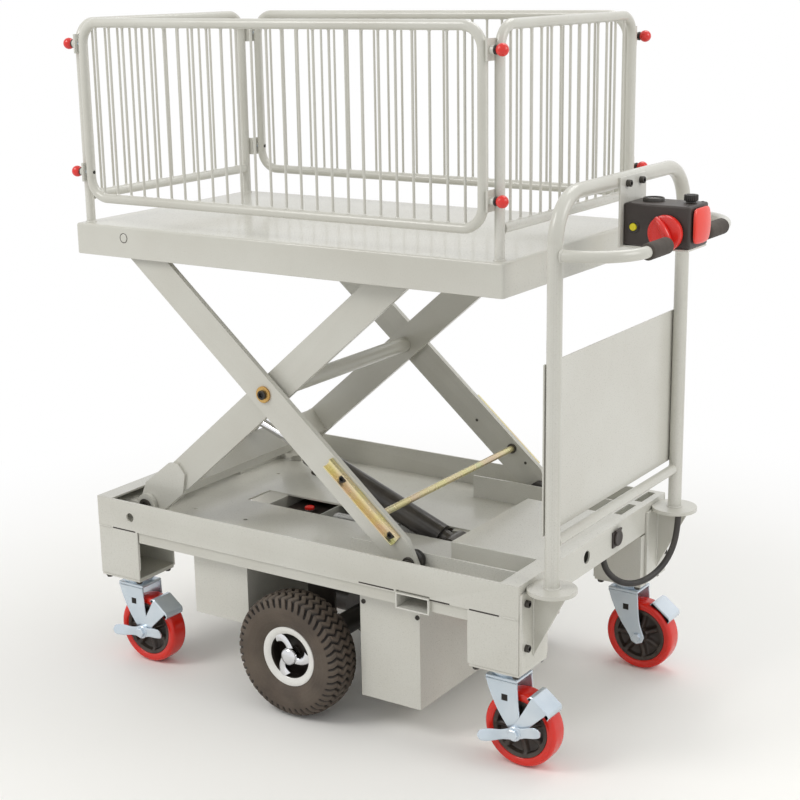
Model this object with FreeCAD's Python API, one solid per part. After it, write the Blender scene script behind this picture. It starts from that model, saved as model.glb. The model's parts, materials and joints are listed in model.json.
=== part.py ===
import FreeCAD, Part
import math
import os

# Powered scissor lift trolley, in millimetres. X runs along the chassis with the push handle
# at +X, Y runs across with the near side at -Y, and Z = 0 is the floor.
# The model is drawn from the drive axle and moved by axle_x, so that the middle of the
# whole outline stands over the origin.
Vec = FreeCAD.Vector
X_AXIS = Vec(1, 0, 0)
Y_AXIS = Vec(0, 1, 0)
Z_AXIS = Vec(0, 0, 1)
SIDES = {"near": -1, "far": 1}
ENDS = {"left": -1, "right": 1}

# Overall outline
deck_left = -561.0
deck_right = 469.0
stop_pad_front = 725.0
axle_x = -(deck_left + stop_pad_front) / 2

# Fits between moving and fixed pieces, as radial clearance
running_fit = 0.05
face_gap = 1.0

# Chassis
chassis_end = 520.0
chassis_side = 320.0
rail_top = 380.0
rail_foot = 314.0
skirt_foot = 290.0
plate = 4.0
floor_top = 322.0
box_length = 110.0
box_depth = 115.0
box_foot = 205.0
caster_plate_thick = 6.0
slot_left = -332.0
slot_right = 268.0
slot_half = 40.0
cover_left = 276.0
cover_right = 500.0
cover_half = 157.0
cover_top = 372.0
pocket_centre = 290.0
pocket_width = 76.0
pocket_height = 37.0
pocket_foot = 284.0

# Scissor linkage: foot pivot, pivot distance along an arm and angle at rest
foot_x = -428.0
foot_z = 359.0
arm_length = 897.2
arm_angle = 40.7
arm_width = 65.0
arm_thick = 12.0
outer_arm_face = 274.0
inner_arm_face = 250.0
centre_x = foot_x + arm_length / 2 * math.cos(math.radians(arm_angle))
centre_z = foot_z + arm_length / 2 * math.sin(math.radians(arm_angle))
top_z = 2 * centre_z - foot_z
roller_x = 2 * centre_x - foot_x
lower_roller_radius = 20.0
upper_roller_radius = 15.0
roller_width = 18.0
pivot_radius = 10.0
foot_pin_radius = 12.0
tie_along = 339.0
tie_across = 14.0
tie_radius = 7.0

# Hydraulic cylinder, from its foot under the floor to the eye on the inner arms
cylinder_x = 190.0
cylinder_z = 300.0
eye_x = -335.0
eye_z = 505.0
barrel_radius = 26.0
barrel_length = 400.0
rod_radius = 11.0
eye_bore = 16.0
eye_pin_radius = 8.0
cylinder_length = math.hypot(eye_x - cylinder_x, eye_z - cylinder_z)

# Deck and fence
deck_top = 965.0
deck_side = 288.0
deck_skirt = 64.0
deck_sheet = 3.0
post_left = -541.0
post_right = 447.0
post_side = 262.0
gate_side = 285.0
gate_left = -510.0
gate_right = 426.0
fence_top = 1373.0
fence_foot = 1021.0
fence_tube = 9.5
fence_wall = 2.0
fence_bar = 2.6
fence_bend = 42.0
gate_bars = 25
end_bars = 13
upper_pin_z = 1332.0
lower_pin_z = 1073.0
ball_radius = 11.5
ball_reach = 39.0
plunger_pin = 4.0

# Wheels
drive_radius = 130.0
drive_width = 84.0
drive_face = 350.0
drive_rim_radius = 62.0
drive_shaft = 12.0
caster_x = 466.0
caster_side = 262.0
caster_trail = 36.0
caster_radius = 76.2
caster_width = 44.0
caster_hub_radius = 58.0
caster_axle = 6.0
shoe_gap = 3.0
shoe_thick = 6.0
shoe_half = 24.0
shoe_angle = 52.0

# Push handle and control head
handle_x = 563.0
handle_side = 272.0
handle_tube = 14.0
handle_wall = 2.5
handle_top = 1087.0
handle_bend = 85.0
disc_radius = 47.0
disc_top = 371.0
disc_thick = 8.0
grab_z = 985.0
grab_x = 688.0
grab_tube = 11.0
grab_bend = 110.0
grip_radius = 15.5
grip_start = 170.0
grip_end = 84.0
panel_top = 790.0
panel_foot = 470.0
head_back = 581.0
head_front = 712.0
head_half = 42.0
head_foot = 971.0
head_top = 1049.0
throttle_x = 668.0
throttle_z = 1000.0
throttle_radius = 33.0
button_x = 602.0
button_z = 1006.0
button_radius = 7.0
key_x = 690.0
key_y = 12.0
key_radius = 5.0
gauge_x = 620.0
gauge_y = 4.0
stop_pad_foot = 980.0
stop_pad_top = 1044.0
stop_post_foot = 1000.5
stop_post_top = 1023.5

# Control cable, from under the far handle disc to the end beam
cable_radius = 6.5
cable_route = [
    (586, 240, 363), (587, 234, 335), (585, 222, 300), (577, 196, 268), (564, 158, 249),
    (550, 116, 246), (534, 82, 256), (518, 62, 276), (507, 56, 298), (503, 57, 318),
]


def box(x0, x1, y0, y1, z0, z1):
    corner = Vec(min(x0, x1), min(y0, y1), min(z0, z1))
    return Part.makeBox(abs(x1 - x0), abs(y1 - y0), abs(z1 - z0), corner)


def rod(start, end, radius):
    start, end = Vec(*start), Vec(*end)
    return Part.makeCylinder(radius, (end - start).Length, start, end - start)


def ring(start, end, outer, inner):
    return rod(start, end, outer).cut(rod(start, end, inner))


def fused(shapes):
    first, *others = shapes
    return first.multiFuse(others).removeSplitter() if others else first


def save(node, *shapes):
    solids = [solid for shape in shapes for solid in shape.Solids]
    part = solids[0] if len(solids) == 1 else Part.makeCompound(solids)
    part.translate(Vec(axle_x, 0, 0))
    part.exportStep(f"parts/{node}.step")


def mirrored(shape):
    return shape.mirror(Vec(0, 0, 0), Y_AXIS)


def save_pair(node, near_shape):
    save(node, near_shape, mirrored(near_shape))


def bent_wire(points, bends):
    """Straight runs through the points, joined by tangent arcs of the given radii."""
    points = [Vec(*point) for point in points]
    edges = []
    start = points[0]
    for before, corner, after, radius in zip(points, points[1:], points[2:], bends):
        into = (before - corner).normalize()
        out = (after - corner).normalize()
        half_turn = (math.pi - into.getAngle(out)) / 2
        reach = radius * math.tan(half_turn)
        first = corner + into * reach
        last = corner + out * reach
        middle = corner + (into + out).normalize() * (radius / math.cos(half_turn) - radius)
        edges.append(Part.LineSegment(start, first).toShape())
        edges.append(Part.Arc(first, middle, last).toShape())
        start = last
    edges.append(Part.LineSegment(start, points[-1]).toShape())
    return Part.Wire(edges)


def swept(wire, radius):
    start = wire.Edges[0].firstVertex().Point
    along = wire.Edges[0].tangentAt(wire.Edges[0].FirstParameter)
    circle = Part.Wire([Part.makeCircle(radius, start, along)])
    return wire.makePipeShell([circle], True, False)


def tube(points, bend, radius, wall):
    wire = bent_wire(points, [bend] * (len(points) - 2))
    return swept(wire, radius).cut(swept(wire, radius - wall))


def closed_tube(corners, bend, radius, wall):
    """A ring of tube through four corners, made as two halves that meet end to end."""
    halves = []
    for first in (0, 2):
        before, corner, following, after = (Vec(*corners[(first + step) % 4]) for step in range(4))
        start = (before + corner) * 0.5
        end = (following + after) * 0.5
        halves.append(tube([start, corner, following, end], bend, radius, wall))
    return fused(halves)


def arm_point(pivot, angle, along, across):
    turn = math.radians(angle)
    x = pivot[0] + along * math.cos(turn) - across * math.sin(turn)
    z = pivot[1] + along * math.sin(turn) + across * math.cos(turn)
    return x, z


def prism_y(outline, y0, y1):
    """A flat plate with an outline of (x, z) points, between two Y planes."""
    points = [Vec(x, y0, z) for x, z in outline]
    face = Part.Face(Part.makePolygon(points + points[:1]))
    return face.extrude(Vec(0, y1 - y0, 0))


def plate_on_arm(pivot, angle, outline, y0, y1):
    return prism_y([arm_point(pivot, angle, *point) for point in outline], y0, y1)


# Chassis

def side_rail():
    outer = chassis_side
    upper = box(-chassis_end, chassis_end, -outer, -outer + plate, rail_foot, rail_top)
    strip = box(-chassis_end + box_length, chassis_end - box_length,
                -outer + plate, -outer + 2 * plate, skirt_foot, floor_top - plate)
    rail = fused([upper, strip])
    access_hole = rod((foot_x, -outer - 1, 345), (foot_x, -outer + plate + 1, 345), 10)
    pocket_left = pocket_centre - pocket_width / 2
    pocket = box(pocket_left, pocket_left + pocket_width, -outer - 1, -outer + 2 * plate + 1,
                 pocket_foot, pocket_foot + pocket_height)
    return rail.cut(access_hole).cut(pocket)


def fork_pocket():
    left = pocket_centre - pocket_width / 2
    right = left + pocket_width
    top = pocket_foot + pocket_height - 4
    wall = 3
    outer = box(left, right, -chassis_side - 3, chassis_side + 3, pocket_foot, top)
    inner = box(left + wall, right - wall, -chassis_side - 4, chassis_side + 4,
                pocket_foot + wall, top - wall)
    return outer.cut(inner)


def end_beam(end):
    inside = chassis_side - plate
    face = end * chassis_end
    back = face - end * plate
    web = box(back, face, -inside, inside, floor_top - plate, rail_top)
    lip = box(back - end * 36, back, -inside, inside, rail_top - plate, rail_top)
    beam = fused([web, lip])
    if end > 0:
        beam = beam.cut(rod((back - 1, -46, 350), (face + 1, -46, 350), 13))
        beam = beam.cut(rod((back - 1, 83, 350), (face + 1, 83, 350), 15))
        for start in (140, 236):
            beam = beam.cut(box(487, 504, start, start + 70, rail_top - 2 * plate, rail_top + 1))
    return beam


def corner_box(end, side):
    outer_x = end * chassis_end
    inner_x = end * (chassis_end - box_length)
    outer_y = side * chassis_side
    inner_y = side * (chassis_side - box_depth)
    top = rail_foot
    shell = box(outer_x, inner_x, outer_y, inner_y, box_foot, top)
    hollow = box(outer_x - end * plate, inner_x - end, outer_y - side * plate,
                 inner_y + side * plate, box_foot + plate, top + 1)
    mount_plate = box(outer_x, inner_x + end * 2, outer_y - side * 2, inner_y + side * 2,
                      box_foot - caster_plate_thick, box_foot)
    return shell.cut(hollow), mount_plate


def floor_plate():
    inside = chassis_side - plate
    length = chassis_end - plate
    sheet = box(-length, length, -inside, inside, floor_top - plate, floor_top)
    sheet = sheet.cut(box(slot_left, slot_right, -slot_half, slot_half, floor_top - 10, floor_top + 1))
    for side in (-1, 1):
        for x in (-390, -250):
            sheet = sheet.cut(rod((x, side * 150, floor_top - 10), (x, side * 150, floor_top + 1), 5))
    return sheet


def roller_track(side):
    track_top = foot_z - lower_roller_radius - 0.3
    track = box(94, chassis_end - plate, side * 240, side * 261, floor_top, track_top)
    wall = box(94, chassis_end - plate, side * 236, side * 240, floor_top, cover_top)
    return fused([track, wall])


def foot_bracket(side):
    """An ear outside the inner arm, on a stub of tube along the chassis end."""
    inner = side * (inner_arm_face + 7)
    outer = side * (inner_arm_face + 17)
    ear = fused([
        rod((foot_x, inner, foot_z), (foot_x, outer, foot_z), 24),
        box(foot_x - 24, foot_x + 24, inner, outer, floor_top, foot_z),
    ])
    stub = box(foot_x - 80, foot_x - 36, side * 100, outer, floor_top, floor_top + 40)
    web = box(foot_x - 36, foot_x - 20, inner, outer, floor_top, floor_top + 40)
    hole = rod((foot_x, inner - side, foot_z), (foot_x, outer + side, foot_z), foot_pin_radius)
    return fused([ear, stub, web]).cut(hole)


def cylinder_clevis():
    ears = []
    for side in (-1, 1):
        ear = box(cylinder_x - 26, cylinder_x + 26, side * 30, side * 38, 262, floor_top - plate)
        side_web = box(cylinder_x - 26, cylinder_x + 26, side * 38, side * 46,
                       floor_top - plate - 8, floor_top - plate)
        hole = rod((cylinder_x, side * 29, cylinder_z), (cylinder_x, side * 39, cylinder_z), pivot_radius)
        ears.append(fused([ear, side_web]).cut(hole))
    return ears


def equipment_boxes():
    """Two open-topped sheet boxes under the floor: the battery tray and the controller box."""
    boxes = []
    for left, right, foot, top in ((-280, -137, 152, floor_top - plate), (146, 286, 64, pocket_foot - 3)):
        shell = box(left, right, -290, 290, foot, top)
        hollow = box(left + 2, right - 2, -288, 288, foot + 2, top + 1)
        boxes.append(shell.cut(hollow))
    return boxes


def build_chassis():
    save_pair("side_rails", side_rail())
    save("end_beams", end_beam(-1), end_beam(1))
    corners = [corner_box(end, side) for end in (-1, 1) for side in (-1, 1)]
    save("corner_boxes", *[shell for shell, _ in corners], *[base for _, base in corners])
    pieces = [floor_plate(), fork_pocket(), *cylinder_clevis()]
    for side in (-1, 1):
        pieces += [roller_track(side), foot_bracket(side)]
    save("floor_plates", *pieces)
    cover = box(cover_left, cover_right, -cover_half, cover_half, floor_top, cover_top)
    hollow = box(cover_left + 3, cover_right - 3, 3 - cover_half, cover_half - 3,
                 floor_top - 1, cover_top - 3)
    save("control_cover", cover.cut(hollow))
    save("equipment_boxes", *equipment_boxes())


def build_power():
    batteries = []
    for side in (-1, 1):
        case = box(-272, -145, side * 6, side * 202, 154, 296)
        cap = rod((-205, side * 22, 296), (-205, side * 22, 304), 11)
        batteries += [case, cap]
    save("battery_pack", *batteries)
    tank = box(-118, -8, 64, 200, 196, 312)
    motor = rod((-116, 0, 282), (-10, 0, 282), 34)
    pump = box(-10, 34, -30, 30, 258, 312)
    link = box(-60, -20, 34, 64, 262, 306)
    save("power_pack", fused([tank, motor, pump, link]))


def drive_unit():
    """Gearbox and motor on a cross tube, hung from the floor by two plates."""
    z = drive_radius
    inner = drive_face - drive_width - 8
    housing = rod((0, -inner, z), (0, inner, z), 24)
    gearbox = rod((0, -52, z), (0, 52, z), 58)
    motor = rod((-104, 0, z + 6), (0, 0, z + 6), 40)
    hangers = []
    for side in (-1, 1):
        hanger = box(-34, 34, side * 214, side * 220, z - 30, floor_top - plate)
        shaft = rod((0, side * inner, z), (0, side * (drive_face - 18), z), drive_shaft)
        hangers += [hanger, shaft]
    return fused([housing, gearbox, motor, *hangers])


# Wheels

def revolved(profile, centre, axis):
    """Turn a closed outline of (radius, offset) points about an axis along Y or Z."""
    across = X_AXIS
    points = [centre + across * radius + axis * offset for radius, offset in profile]
    face = Part.Face(Part.makePolygon(points + points[:1]))
    return face.revolve(centre, axis, 360)


def build_drive_wheels():
    half = drive_width / 2
    for name, side in SIDES.items():
        centre = Vec(0, side * (drive_face - half), drive_radius)
        outer = drive_radius
        tyre = revolved([
            (drive_rim_radius, -half + 14), (drive_rim_radius + 26, -half + 3), (outer - 24, -half),
            (outer - 8, -half + 8), (outer, -half + 22), (outer, half - 22), (outer - 8, half - 8),
            (outer - 24, half), (drive_rim_radius + 26, half - 3), (drive_rim_radius, half - 14),
        ], centre, Y_AXIS)
        rim = revolved([
            (drive_shaft + running_fit, -14), (36, -14), (36, -6), (52, -6), (52, -half + 14),
            (drive_rim_radius, -half + 14), (drive_rim_radius, half - 14), (52, half - 14),
            (52, 6), (36, 6), (36, 14), (drive_shaft + running_fit, 14),
        ], centre, Y_AXIS)
        face_y = side * (drive_face - half + 14)
        cap = ring((0, face_y, drive_radius), (0, side * (drive_face - 12), drive_radius),
                   22, drive_shaft + running_fit)
        lid = rod((0, side * (drive_face - 12), drive_radius),
                  (0, side * (drive_face - 6), drive_radius), 22)
        save(f"drive_tyre_{name}", tyre)
        save(f"drive_rim_{name}", fused([rim, cap, lid]))


def caster_fork(x, y, side):
    """Swivel head, crown and two legs, with the axle bolt through them."""
    axle = Vec(x + caster_trail, y, caster_radius)
    top = box_foot - caster_plate_thick
    head = rod((x, y, top - 8), (x, y, top), 34)
    race = rod((x, y, top - 20), (x, y, top - 8), 29)
    crown = box(x - 33, x + 37, y - 31, y + 31, top - 28, top - 20)
    pieces = [head, race, crown]
    for leg_side in (-1, 1):
        y0 = y + leg_side * 27
        y1 = y + leg_side * 31
        outline = [(x - 33, top - 24), (x + 37, top - 24), (axle.x + 18, axle.z),
                   (axle.x + 10, axle.z - 15), (axle.x - 10, axle.z - 15), (axle.x - 18, axle.z)]
        pieces.append(prism_y(outline, y0, y1))
    pieces.append(rod((axle.x, y - 34, axle.z), (axle.x, y + 34, axle.z), caster_axle))
    pieces.append(rod((axle.x, y - side * 31, axle.z), (axle.x, y - side * 38, axle.z), 9.5))
    return fused(pieces)


def caster_brake(x, y, side):
    """Two-winged lever outside the fork with an arm up to the flat shoe over the tread."""
    axle = Vec(x + caster_trail, y, caster_radius)
    pivot = (axle.x, axle.z)
    near_face = y + side * 32
    hub = rod((axle.x, near_face, axle.z), (axle.x, y + side * 44, axle.z), 13)
    wings = box(axle.x - 60, axle.x + 52, y + side * 38, y + side * 42, axle.z - 9, axle.z + 9)
    inner = caster_radius + shoe_gap
    outer = inner + shoe_thick
    arm_shape = [(6, 10), (outer - 1, 17), (outer - 1, -17), (6, -10)]
    arm = plate_on_arm(pivot, shoe_angle, arm_shape, near_face, y + side * 36)
    shoe_shape = [(inner, shoe_half), (outer, shoe_half - 4), (outer, 4 - shoe_half), (inner, -shoe_half)]
    shoe = plate_on_arm(pivot, shoe_angle, shoe_shape, y - side * 18, near_face)
    bore = rod((axle.x, y + side * 30, axle.z), (axle.x, y + side * 46, axle.z), caster_axle + running_fit)
    return fused([hub, wings, arm]).cut(bore), shoe


def build_casters():
    for end_name, end in ENDS.items():
        for side_name, side in SIDES.items():
            x, y = end * caster_x, side * caster_side
            centre = Vec(x + caster_trail, y, caster_radius)
            half = caster_width / 2
            corner = f"{end_name}_{side_name}"
            hub = revolved([
                (caster_axle + running_fit, -half), (18, -half), (22, -8), (caster_hub_radius - 8, -8),
                (caster_hub_radius - 6, 2 - half), (caster_hub_radius, 2 - half),
                (caster_hub_radius, half - 2), (caster_hub_radius - 6, half - 2),
                (caster_hub_radius - 8, 8), (22, 8), (18, half), (caster_axle + running_fit, half),
            ], centre, Y_AXIS)
            tread = revolved([
                (caster_hub_radius, -half + 2), (caster_radius - 5, -half), (caster_radius, -half + 6),
                (caster_radius, half - 6), (caster_radius - 5, half), (caster_hub_radius, half - 2),
            ], centre, Y_AXIS)
            save(f"caster_fork_{corner}", caster_fork(x, y, side))
            save(f"caster_brake_{corner}", *caster_brake(x, y, side))
            save(f"caster_hub_{corner}", hub)
            save(f"caster_tread_{corner}", tread)


# Scissor linkage

def inner_arm(side):
    pivot = (foot_x, foot_z)
    outer = side * inner_arm_face
    inner = side * (inner_arm_face - arm_thick)
    half = arm_width / 2
    outline = [(-20, 18), (12, half), (arm_length - 70, half), (arm_length + 2, 14),
               (arm_length + 13, 6), (arm_length + 13, -8), (arm_length + 2, -24),
               (arm_length - 20, -half), (12, -half), (-20, -18)]
    bar = plate_on_arm(pivot, arm_angle, outline, inner, outer)
    doubler_outline = [(-18, 20), (26, 41), (112, 37), (132, 22), (132, -6), (98, -34), (14, -half),
                       (-18, -18)]
    doubler = plate_on_arm(pivot, arm_angle, doubler_outline, outer, outer + side * 6)
    arm = fused([bar, doubler])
    y0, y1 = side * 200, side * 300
    arm = arm.cut(rod((foot_x, y0, foot_z), (foot_x, y1, foot_z), foot_pin_radius + running_fit))
    arm = arm.cut(rod((centre_x, y0, centre_z), (centre_x, y1, centre_z), pivot_radius + running_fit))
    stub = rod((roller_x, outer, top_z), (roller_x, outer + side * (roller_width + 4), top_z), 8)
    return fused([arm, stub])


def inner_cross_members():
    inner = inner_arm_face - arm_thick
    pivot = (foot_x, foot_z)
    square = [(70, -30), (130, -30), (130, 30), (70, 30)]
    beam = plate_on_arm(pivot, arm_angle, square, -inner, inner)
    hollow = plate_on_arm(pivot, arm_angle, [(74, -26), (126, -26), (126, 26), (74, 26)], -inner, inner)
    centre_tube = ring((centre_x, -inner, centre_z), (centre_x, inner, centre_z), 17, 12)
    lugs = []
    turn = math.radians(arm_angle)
    reach_x, reach_z = eye_x - foot_x, eye_z - foot_z
    along = reach_x * math.cos(turn) + reach_z * math.sin(turn)
    across = reach_z * math.cos(turn) - reach_x * math.sin(turn)
    for side in (-1, 1):
        outline = [(74, 29), (128, 29), (along + 17, across - 6), (along + 12, across + 16),
                   (along - 14, across + 16)]
        lug = plate_on_arm(pivot, arm_angle, outline, side * 17, side * 27)
        lugs.append(lug)
    pin = rod((eye_x, -31, eye_z), (eye_x, 31, eye_z), eye_pin_radius)
    return [beam.cut(hollow), centre_tube, *lugs, pin]


def outer_arm(side):
    """From the deck pivot down to the lower roller; along is measured from the deck pivot."""
    pivot = (foot_x, top_z)
    outer = side * outer_arm_face
    inner = side * (outer_arm_face - arm_thick)
    half = arm_width / 2
    outline = [(-18, 6), (-2, 14), (70, half), (arm_length - 32, half), (arm_length + 22, 8),
               (arm_length + 22, -16), (arm_length + 6, -30), (arm_length - 20, -half),
               (20, -half), (-4, -24), (-18, -8)]
    arm = plate_on_arm(pivot, -arm_angle, outline, inner, outer)
    y0, y1 = side * 250, side * 290
    arm = arm.cut(rod((foot_x, y0, top_z), (foot_x, y1, top_z), pivot_radius + running_fit))
    arm = arm.cut(rod((centre_x, y0, centre_z), (centre_x, y1, centre_z), pivot_radius))
    tie_x, tie_z = prop_pivot()
    arm = arm.cut(rod((tie_x, y0, tie_z), (tie_x, y1, tie_z), tie_radius + running_fit))
    return arm


def prop_pivot():
    return arm_point((centre_x, centre_z), -arm_angle, tie_along, tie_across)


def build_scissor():
    save("inner_arms", fused([inner_arm(-1), inner_arm(1), *inner_cross_members()]))
    arms = [outer_arm(side) for side in (-1, 1)]
    inner = outer_arm_face - arm_thick
    stay_x, stay_z = arm_point((foot_x, top_z), -arm_angle, 62, -6)
    stay = rod((stay_x, -inner, stay_z), (stay_x, inner, stay_z), 13)
    stubs = []
    for side in (-1, 1):
        start = side * (inner - roller_width - 3)
        end = side * (outer_arm_face + 5)
        stubs.append(rod((roller_x, start, foot_z), (roller_x, end, foot_z), 8))
    save("outer_arms", fused([*arms, stay, *stubs]))
    bolts = []
    for side in (-1, 1):
        spacer = (side * (inner_arm_face + 0.5), side * inner)
        reach = side * (inner_arm_face - arm_thick + 1)
        outer = side * outer_arm_face
        pieces = [
            rod((centre_x, reach, centre_z), (centre_x, outer, centre_z), pivot_radius),
            rod((centre_x, spacer[0], centre_z), (centre_x, spacer[1], centre_z), 16),
            rod((centre_x, outer, centre_z), (centre_x, outer + side * 5, centre_z), 17),
            rod((centre_x, outer + side * 5, centre_z), (centre_x, outer + side * 10, centre_z), 10),
        ]
        bolts.append(fused(pieces))
    save("centre_bolts", *bolts)
    lower, upper = [], []
    for side in (-1, 1):
        start = side * (inner - 1.5)
        lower.append(ring((roller_x, start, foot_z), (roller_x, start - side * roller_width, foot_z),
                          lower_roller_radius, 8 + running_fit))
        start = side * (inner_arm_face + 1.5)
        upper.append(ring((roller_x, start, top_z), (roller_x, start + side * roller_width, top_z),
                          upper_roller_radius, 8 + running_fit))
    save("lower_rollers", *lower)
    save("upper_rollers", *upper)


def safety_prop():
    """A channel outside each outer arm, with the tie rod that both turn on."""
    centre = (centre_x, centre_z)
    pieces = []
    for side in (-1, 1):
        y0 = side * (outer_arm_face + 1)
        y1 = y0 + side * 12
        channel = plate_on_arm(centre, -arm_angle, [(195, 4), (402, 4), (402, 28), (195, 28)], y0, y1)
        hollow = plate_on_arm(centre, -arm_angle, [(190, 6.5), (410, 6.5), (410, 25.5), (190, 25.5)],
                              y0 + side * 2.5, y1 + side)
        pieces.append(channel.cut(hollow))
    tie_x, tie_z = prop_pivot()
    end = outer_arm_face + 3.5
    pieces.append(rod((tie_x, -end, tie_z), (tie_x, end, tie_z), tie_radius))
    return fused(pieces)


def build_cylinder():
    foot = Vec(cylinder_x, 0, cylinder_z)
    along = (Vec(eye_x, 0, eye_z) - foot).normalize()
    barrel = Part.makeCylinder(barrel_radius, barrel_length - 34, foot + along * 34, along)
    neck = Part.makeCylinder(18, 40, foot, along)
    lug = rod((cylinder_x, -28, cylinder_z), (cylinder_x, 28, cylinder_z), 22)
    below = along.cross(Y_AXIS)
    if below.z > 0:
        below = below * -1
    port = Part.makeCylinder(9, barrel_radius + 14, foot + along * 372, below)
    collar = Part.makeCylinder(barrel_radius + 3, 26, foot + along * (barrel_length - 30), along)
    bore = Part.makeCylinder(rod_radius + running_fit, barrel_length, foot + along * 100, along)
    hole = rod((cylinder_x, -29, cylinder_z), (cylinder_x, 29, cylinder_z), pivot_radius + running_fit)
    save("cylinder_barrel", fused([barrel, neck, lug, port, collar]).cut(bore).cut(hole))
    rod_start = 190
    shaft = Part.makeCylinder(rod_radius, cylinder_length - rod_start - 18,
                              foot + along * rod_start, along)
    eye = ring((eye_x, -13, eye_z), (eye_x, 13, eye_z), eye_bore + 9, eye_bore)
    save("cylinder_rod", fused([shaft, eye]))


# Deck and fence

def build_deck():
    top, foot = deck_top, deck_top - deck_skirt
    shell = box(deck_left, deck_right, -deck_side, deck_side, foot, top)
    upright = [edge for edge in shell.Edges if abs(edge.tangentAt(edge.FirstParameter).z) > 0.5]
    shell = shell.makeFillet(6, upright)
    rim = [edge for edge in shell.Edges if edge.BoundBox.ZMin > top - 1]
    shell = shell.makeFillet(5, rim)
    seam = top - deck_sheet
    inner_left, inner_right = deck_left + deck_sheet, deck_right - deck_sheet
    pieces = [shell.common(box(deck_left, deck_right, -deck_side, deck_side, seam, top)),
              shell.common(box(deck_left, inner_left, -deck_side, deck_side, foot, seam)),
              shell.common(box(inner_right, deck_right, -deck_side, deck_side, foot, seam))]
    for side in (-1, 1):
        y = side * deck_side
        low, high = sorted((y, y - side * deck_sheet))
        skirt = shell.common(box(inner_left, inner_right, low, high, foot, seam))
        pieces.append(skirt.cut(rod((foot_x, y - side * 5, top_z - 2), (foot_x, y + side, top_z - 2), 10)))
        lug_inner = side * (outer_arm_face + face_gap)
        lug_outer = side * (deck_side - deck_sheet)
        lug = box(foot_x - 30, foot_x + 30, lug_inner, lug_outer, top_z - 20, seam)
        pin = rod((foot_x, side * (outer_arm_face - arm_thick - 1), top_z),
                  (foot_x, lug_outer - side * 4, top_z), pivot_radius)
        pieces.append(fused([lug, pin]))
    for x in (-250, 60):
        pieces.append(box(x, x + 40, -200, 200, top - 12, seam))
    save("deck_plate", *pieces)


def end_frame(end):
    """Rounded frame of tube with two posts down to the deck, a cross rail and upright bars."""
    x, gate_x = (post_right, gate_right) if end > 0 else (post_left, gate_left)
    side, radius = post_side, fence_tube
    hoop = tube([(x, -side, deck_top), (x, -side, fence_top), (x, side, fence_top), (x, side, deck_top)],
                fence_bend, radius, fence_wall)
    reach = side - radius + 1
    pieces = [hoop, rod((x, -reach, fence_foot), (x, reach, fence_foot), radius)]
    pitch = 2 * side / (end_bars + 1)
    for index in range(end_bars):
        y = -side + pitch * (index + 1)
        pieces.append(rod((x, y, fence_foot + radius - 1), (x, y, fence_top - radius + 1), fence_bar))
    for across in (-1, 1):
        for z in (upper_pin_z, lower_pin_z):
            plate_x = gate_x + end * 14
            y = across * gate_side
            ear_outer = across * (gate_side + 11)
            ear = box(plate_x - 2, plate_x + 2, across * (side + 4), ear_outer, z - 19, z + 19)
            strap = box(plate_x, x, across * (side + 4), across * (side + 8), z - 19, z + 19)
            sleeve = rod((plate_x, y, z), (gate_x + end * 26, y, z), 8)
            hole = rod((plate_x - end * 4, y, z), (gate_x + end * 27, y, z), plunger_pin + 0.06)
            ear = fused([ear, strap, sleeve]).cut(hole)
            pieces.append(ear.cut(rod((x, across * side, z - 30), (x, across * side, z + 30), radius - 1)))
    return fused(pieces)


def side_gate(side):
    y, radius = side * gate_side, fence_tube
    corners = [(gate_left, y, fence_foot), (gate_left, y, fence_top), (gate_right, y, fence_top),
               (gate_right, y, fence_foot)]
    pieces = [closed_tube(corners, fence_bend, radius, fence_wall)]
    pitch = (gate_right - gate_left) / (gate_bars + 1)
    for index in range(gate_bars):
        x = gate_left + pitch * (index + 1)
        pieces.append(rod((x, y, fence_foot + radius - 1), (x, y, fence_top - radius + 1), fence_bar))
    gate = fused(pieces)
    for x in (gate_left, gate_right):
        gate = gate.cut(rod((x - 12, y, lower_pin_z), (x + 12, y, lower_pin_z), plunger_pin + running_fit))
    return gate


def plunger(end, side, z, tip_gap):
    """Pin with a ball knob, pointing into the side tube of a gate."""
    ball = Part.makeSphere(ball_radius, Vec(ball_reach, 0, 0))
    neck = rod((ball_reach - 13, 0, 0), (ball_reach, 0, 0), 7)
    pin = rod((fence_tube + tip_gap, 0, 0), (ball_reach, 0, 0), plunger_pin)
    whole = fused([ball, neck, pin])
    gate_x = gate_right
    if end < 0:
        gate_x = gate_left
        whole.rotate(Vec(0, 0, 0), Z_AXIS, 180)
    whole.translate(Vec(gate_x, side * gate_side, z))
    return whole


def build_fence():
    save("fence_ends", end_frame(-1), end_frame(1))
    lower = []
    for side_name, side in SIDES.items():
        save(f"side_gate_{side_name}", side_gate(side))
        for end_name, end in ENDS.items():
            save(f"plunger_{end_name}_{side_name}", plunger(end, side, upper_pin_z, 1.5))
            lower.append(plunger(end, side, lower_pin_z, -8))
    save("lower_plungers", *lower)


# Push handle and controls

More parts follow.
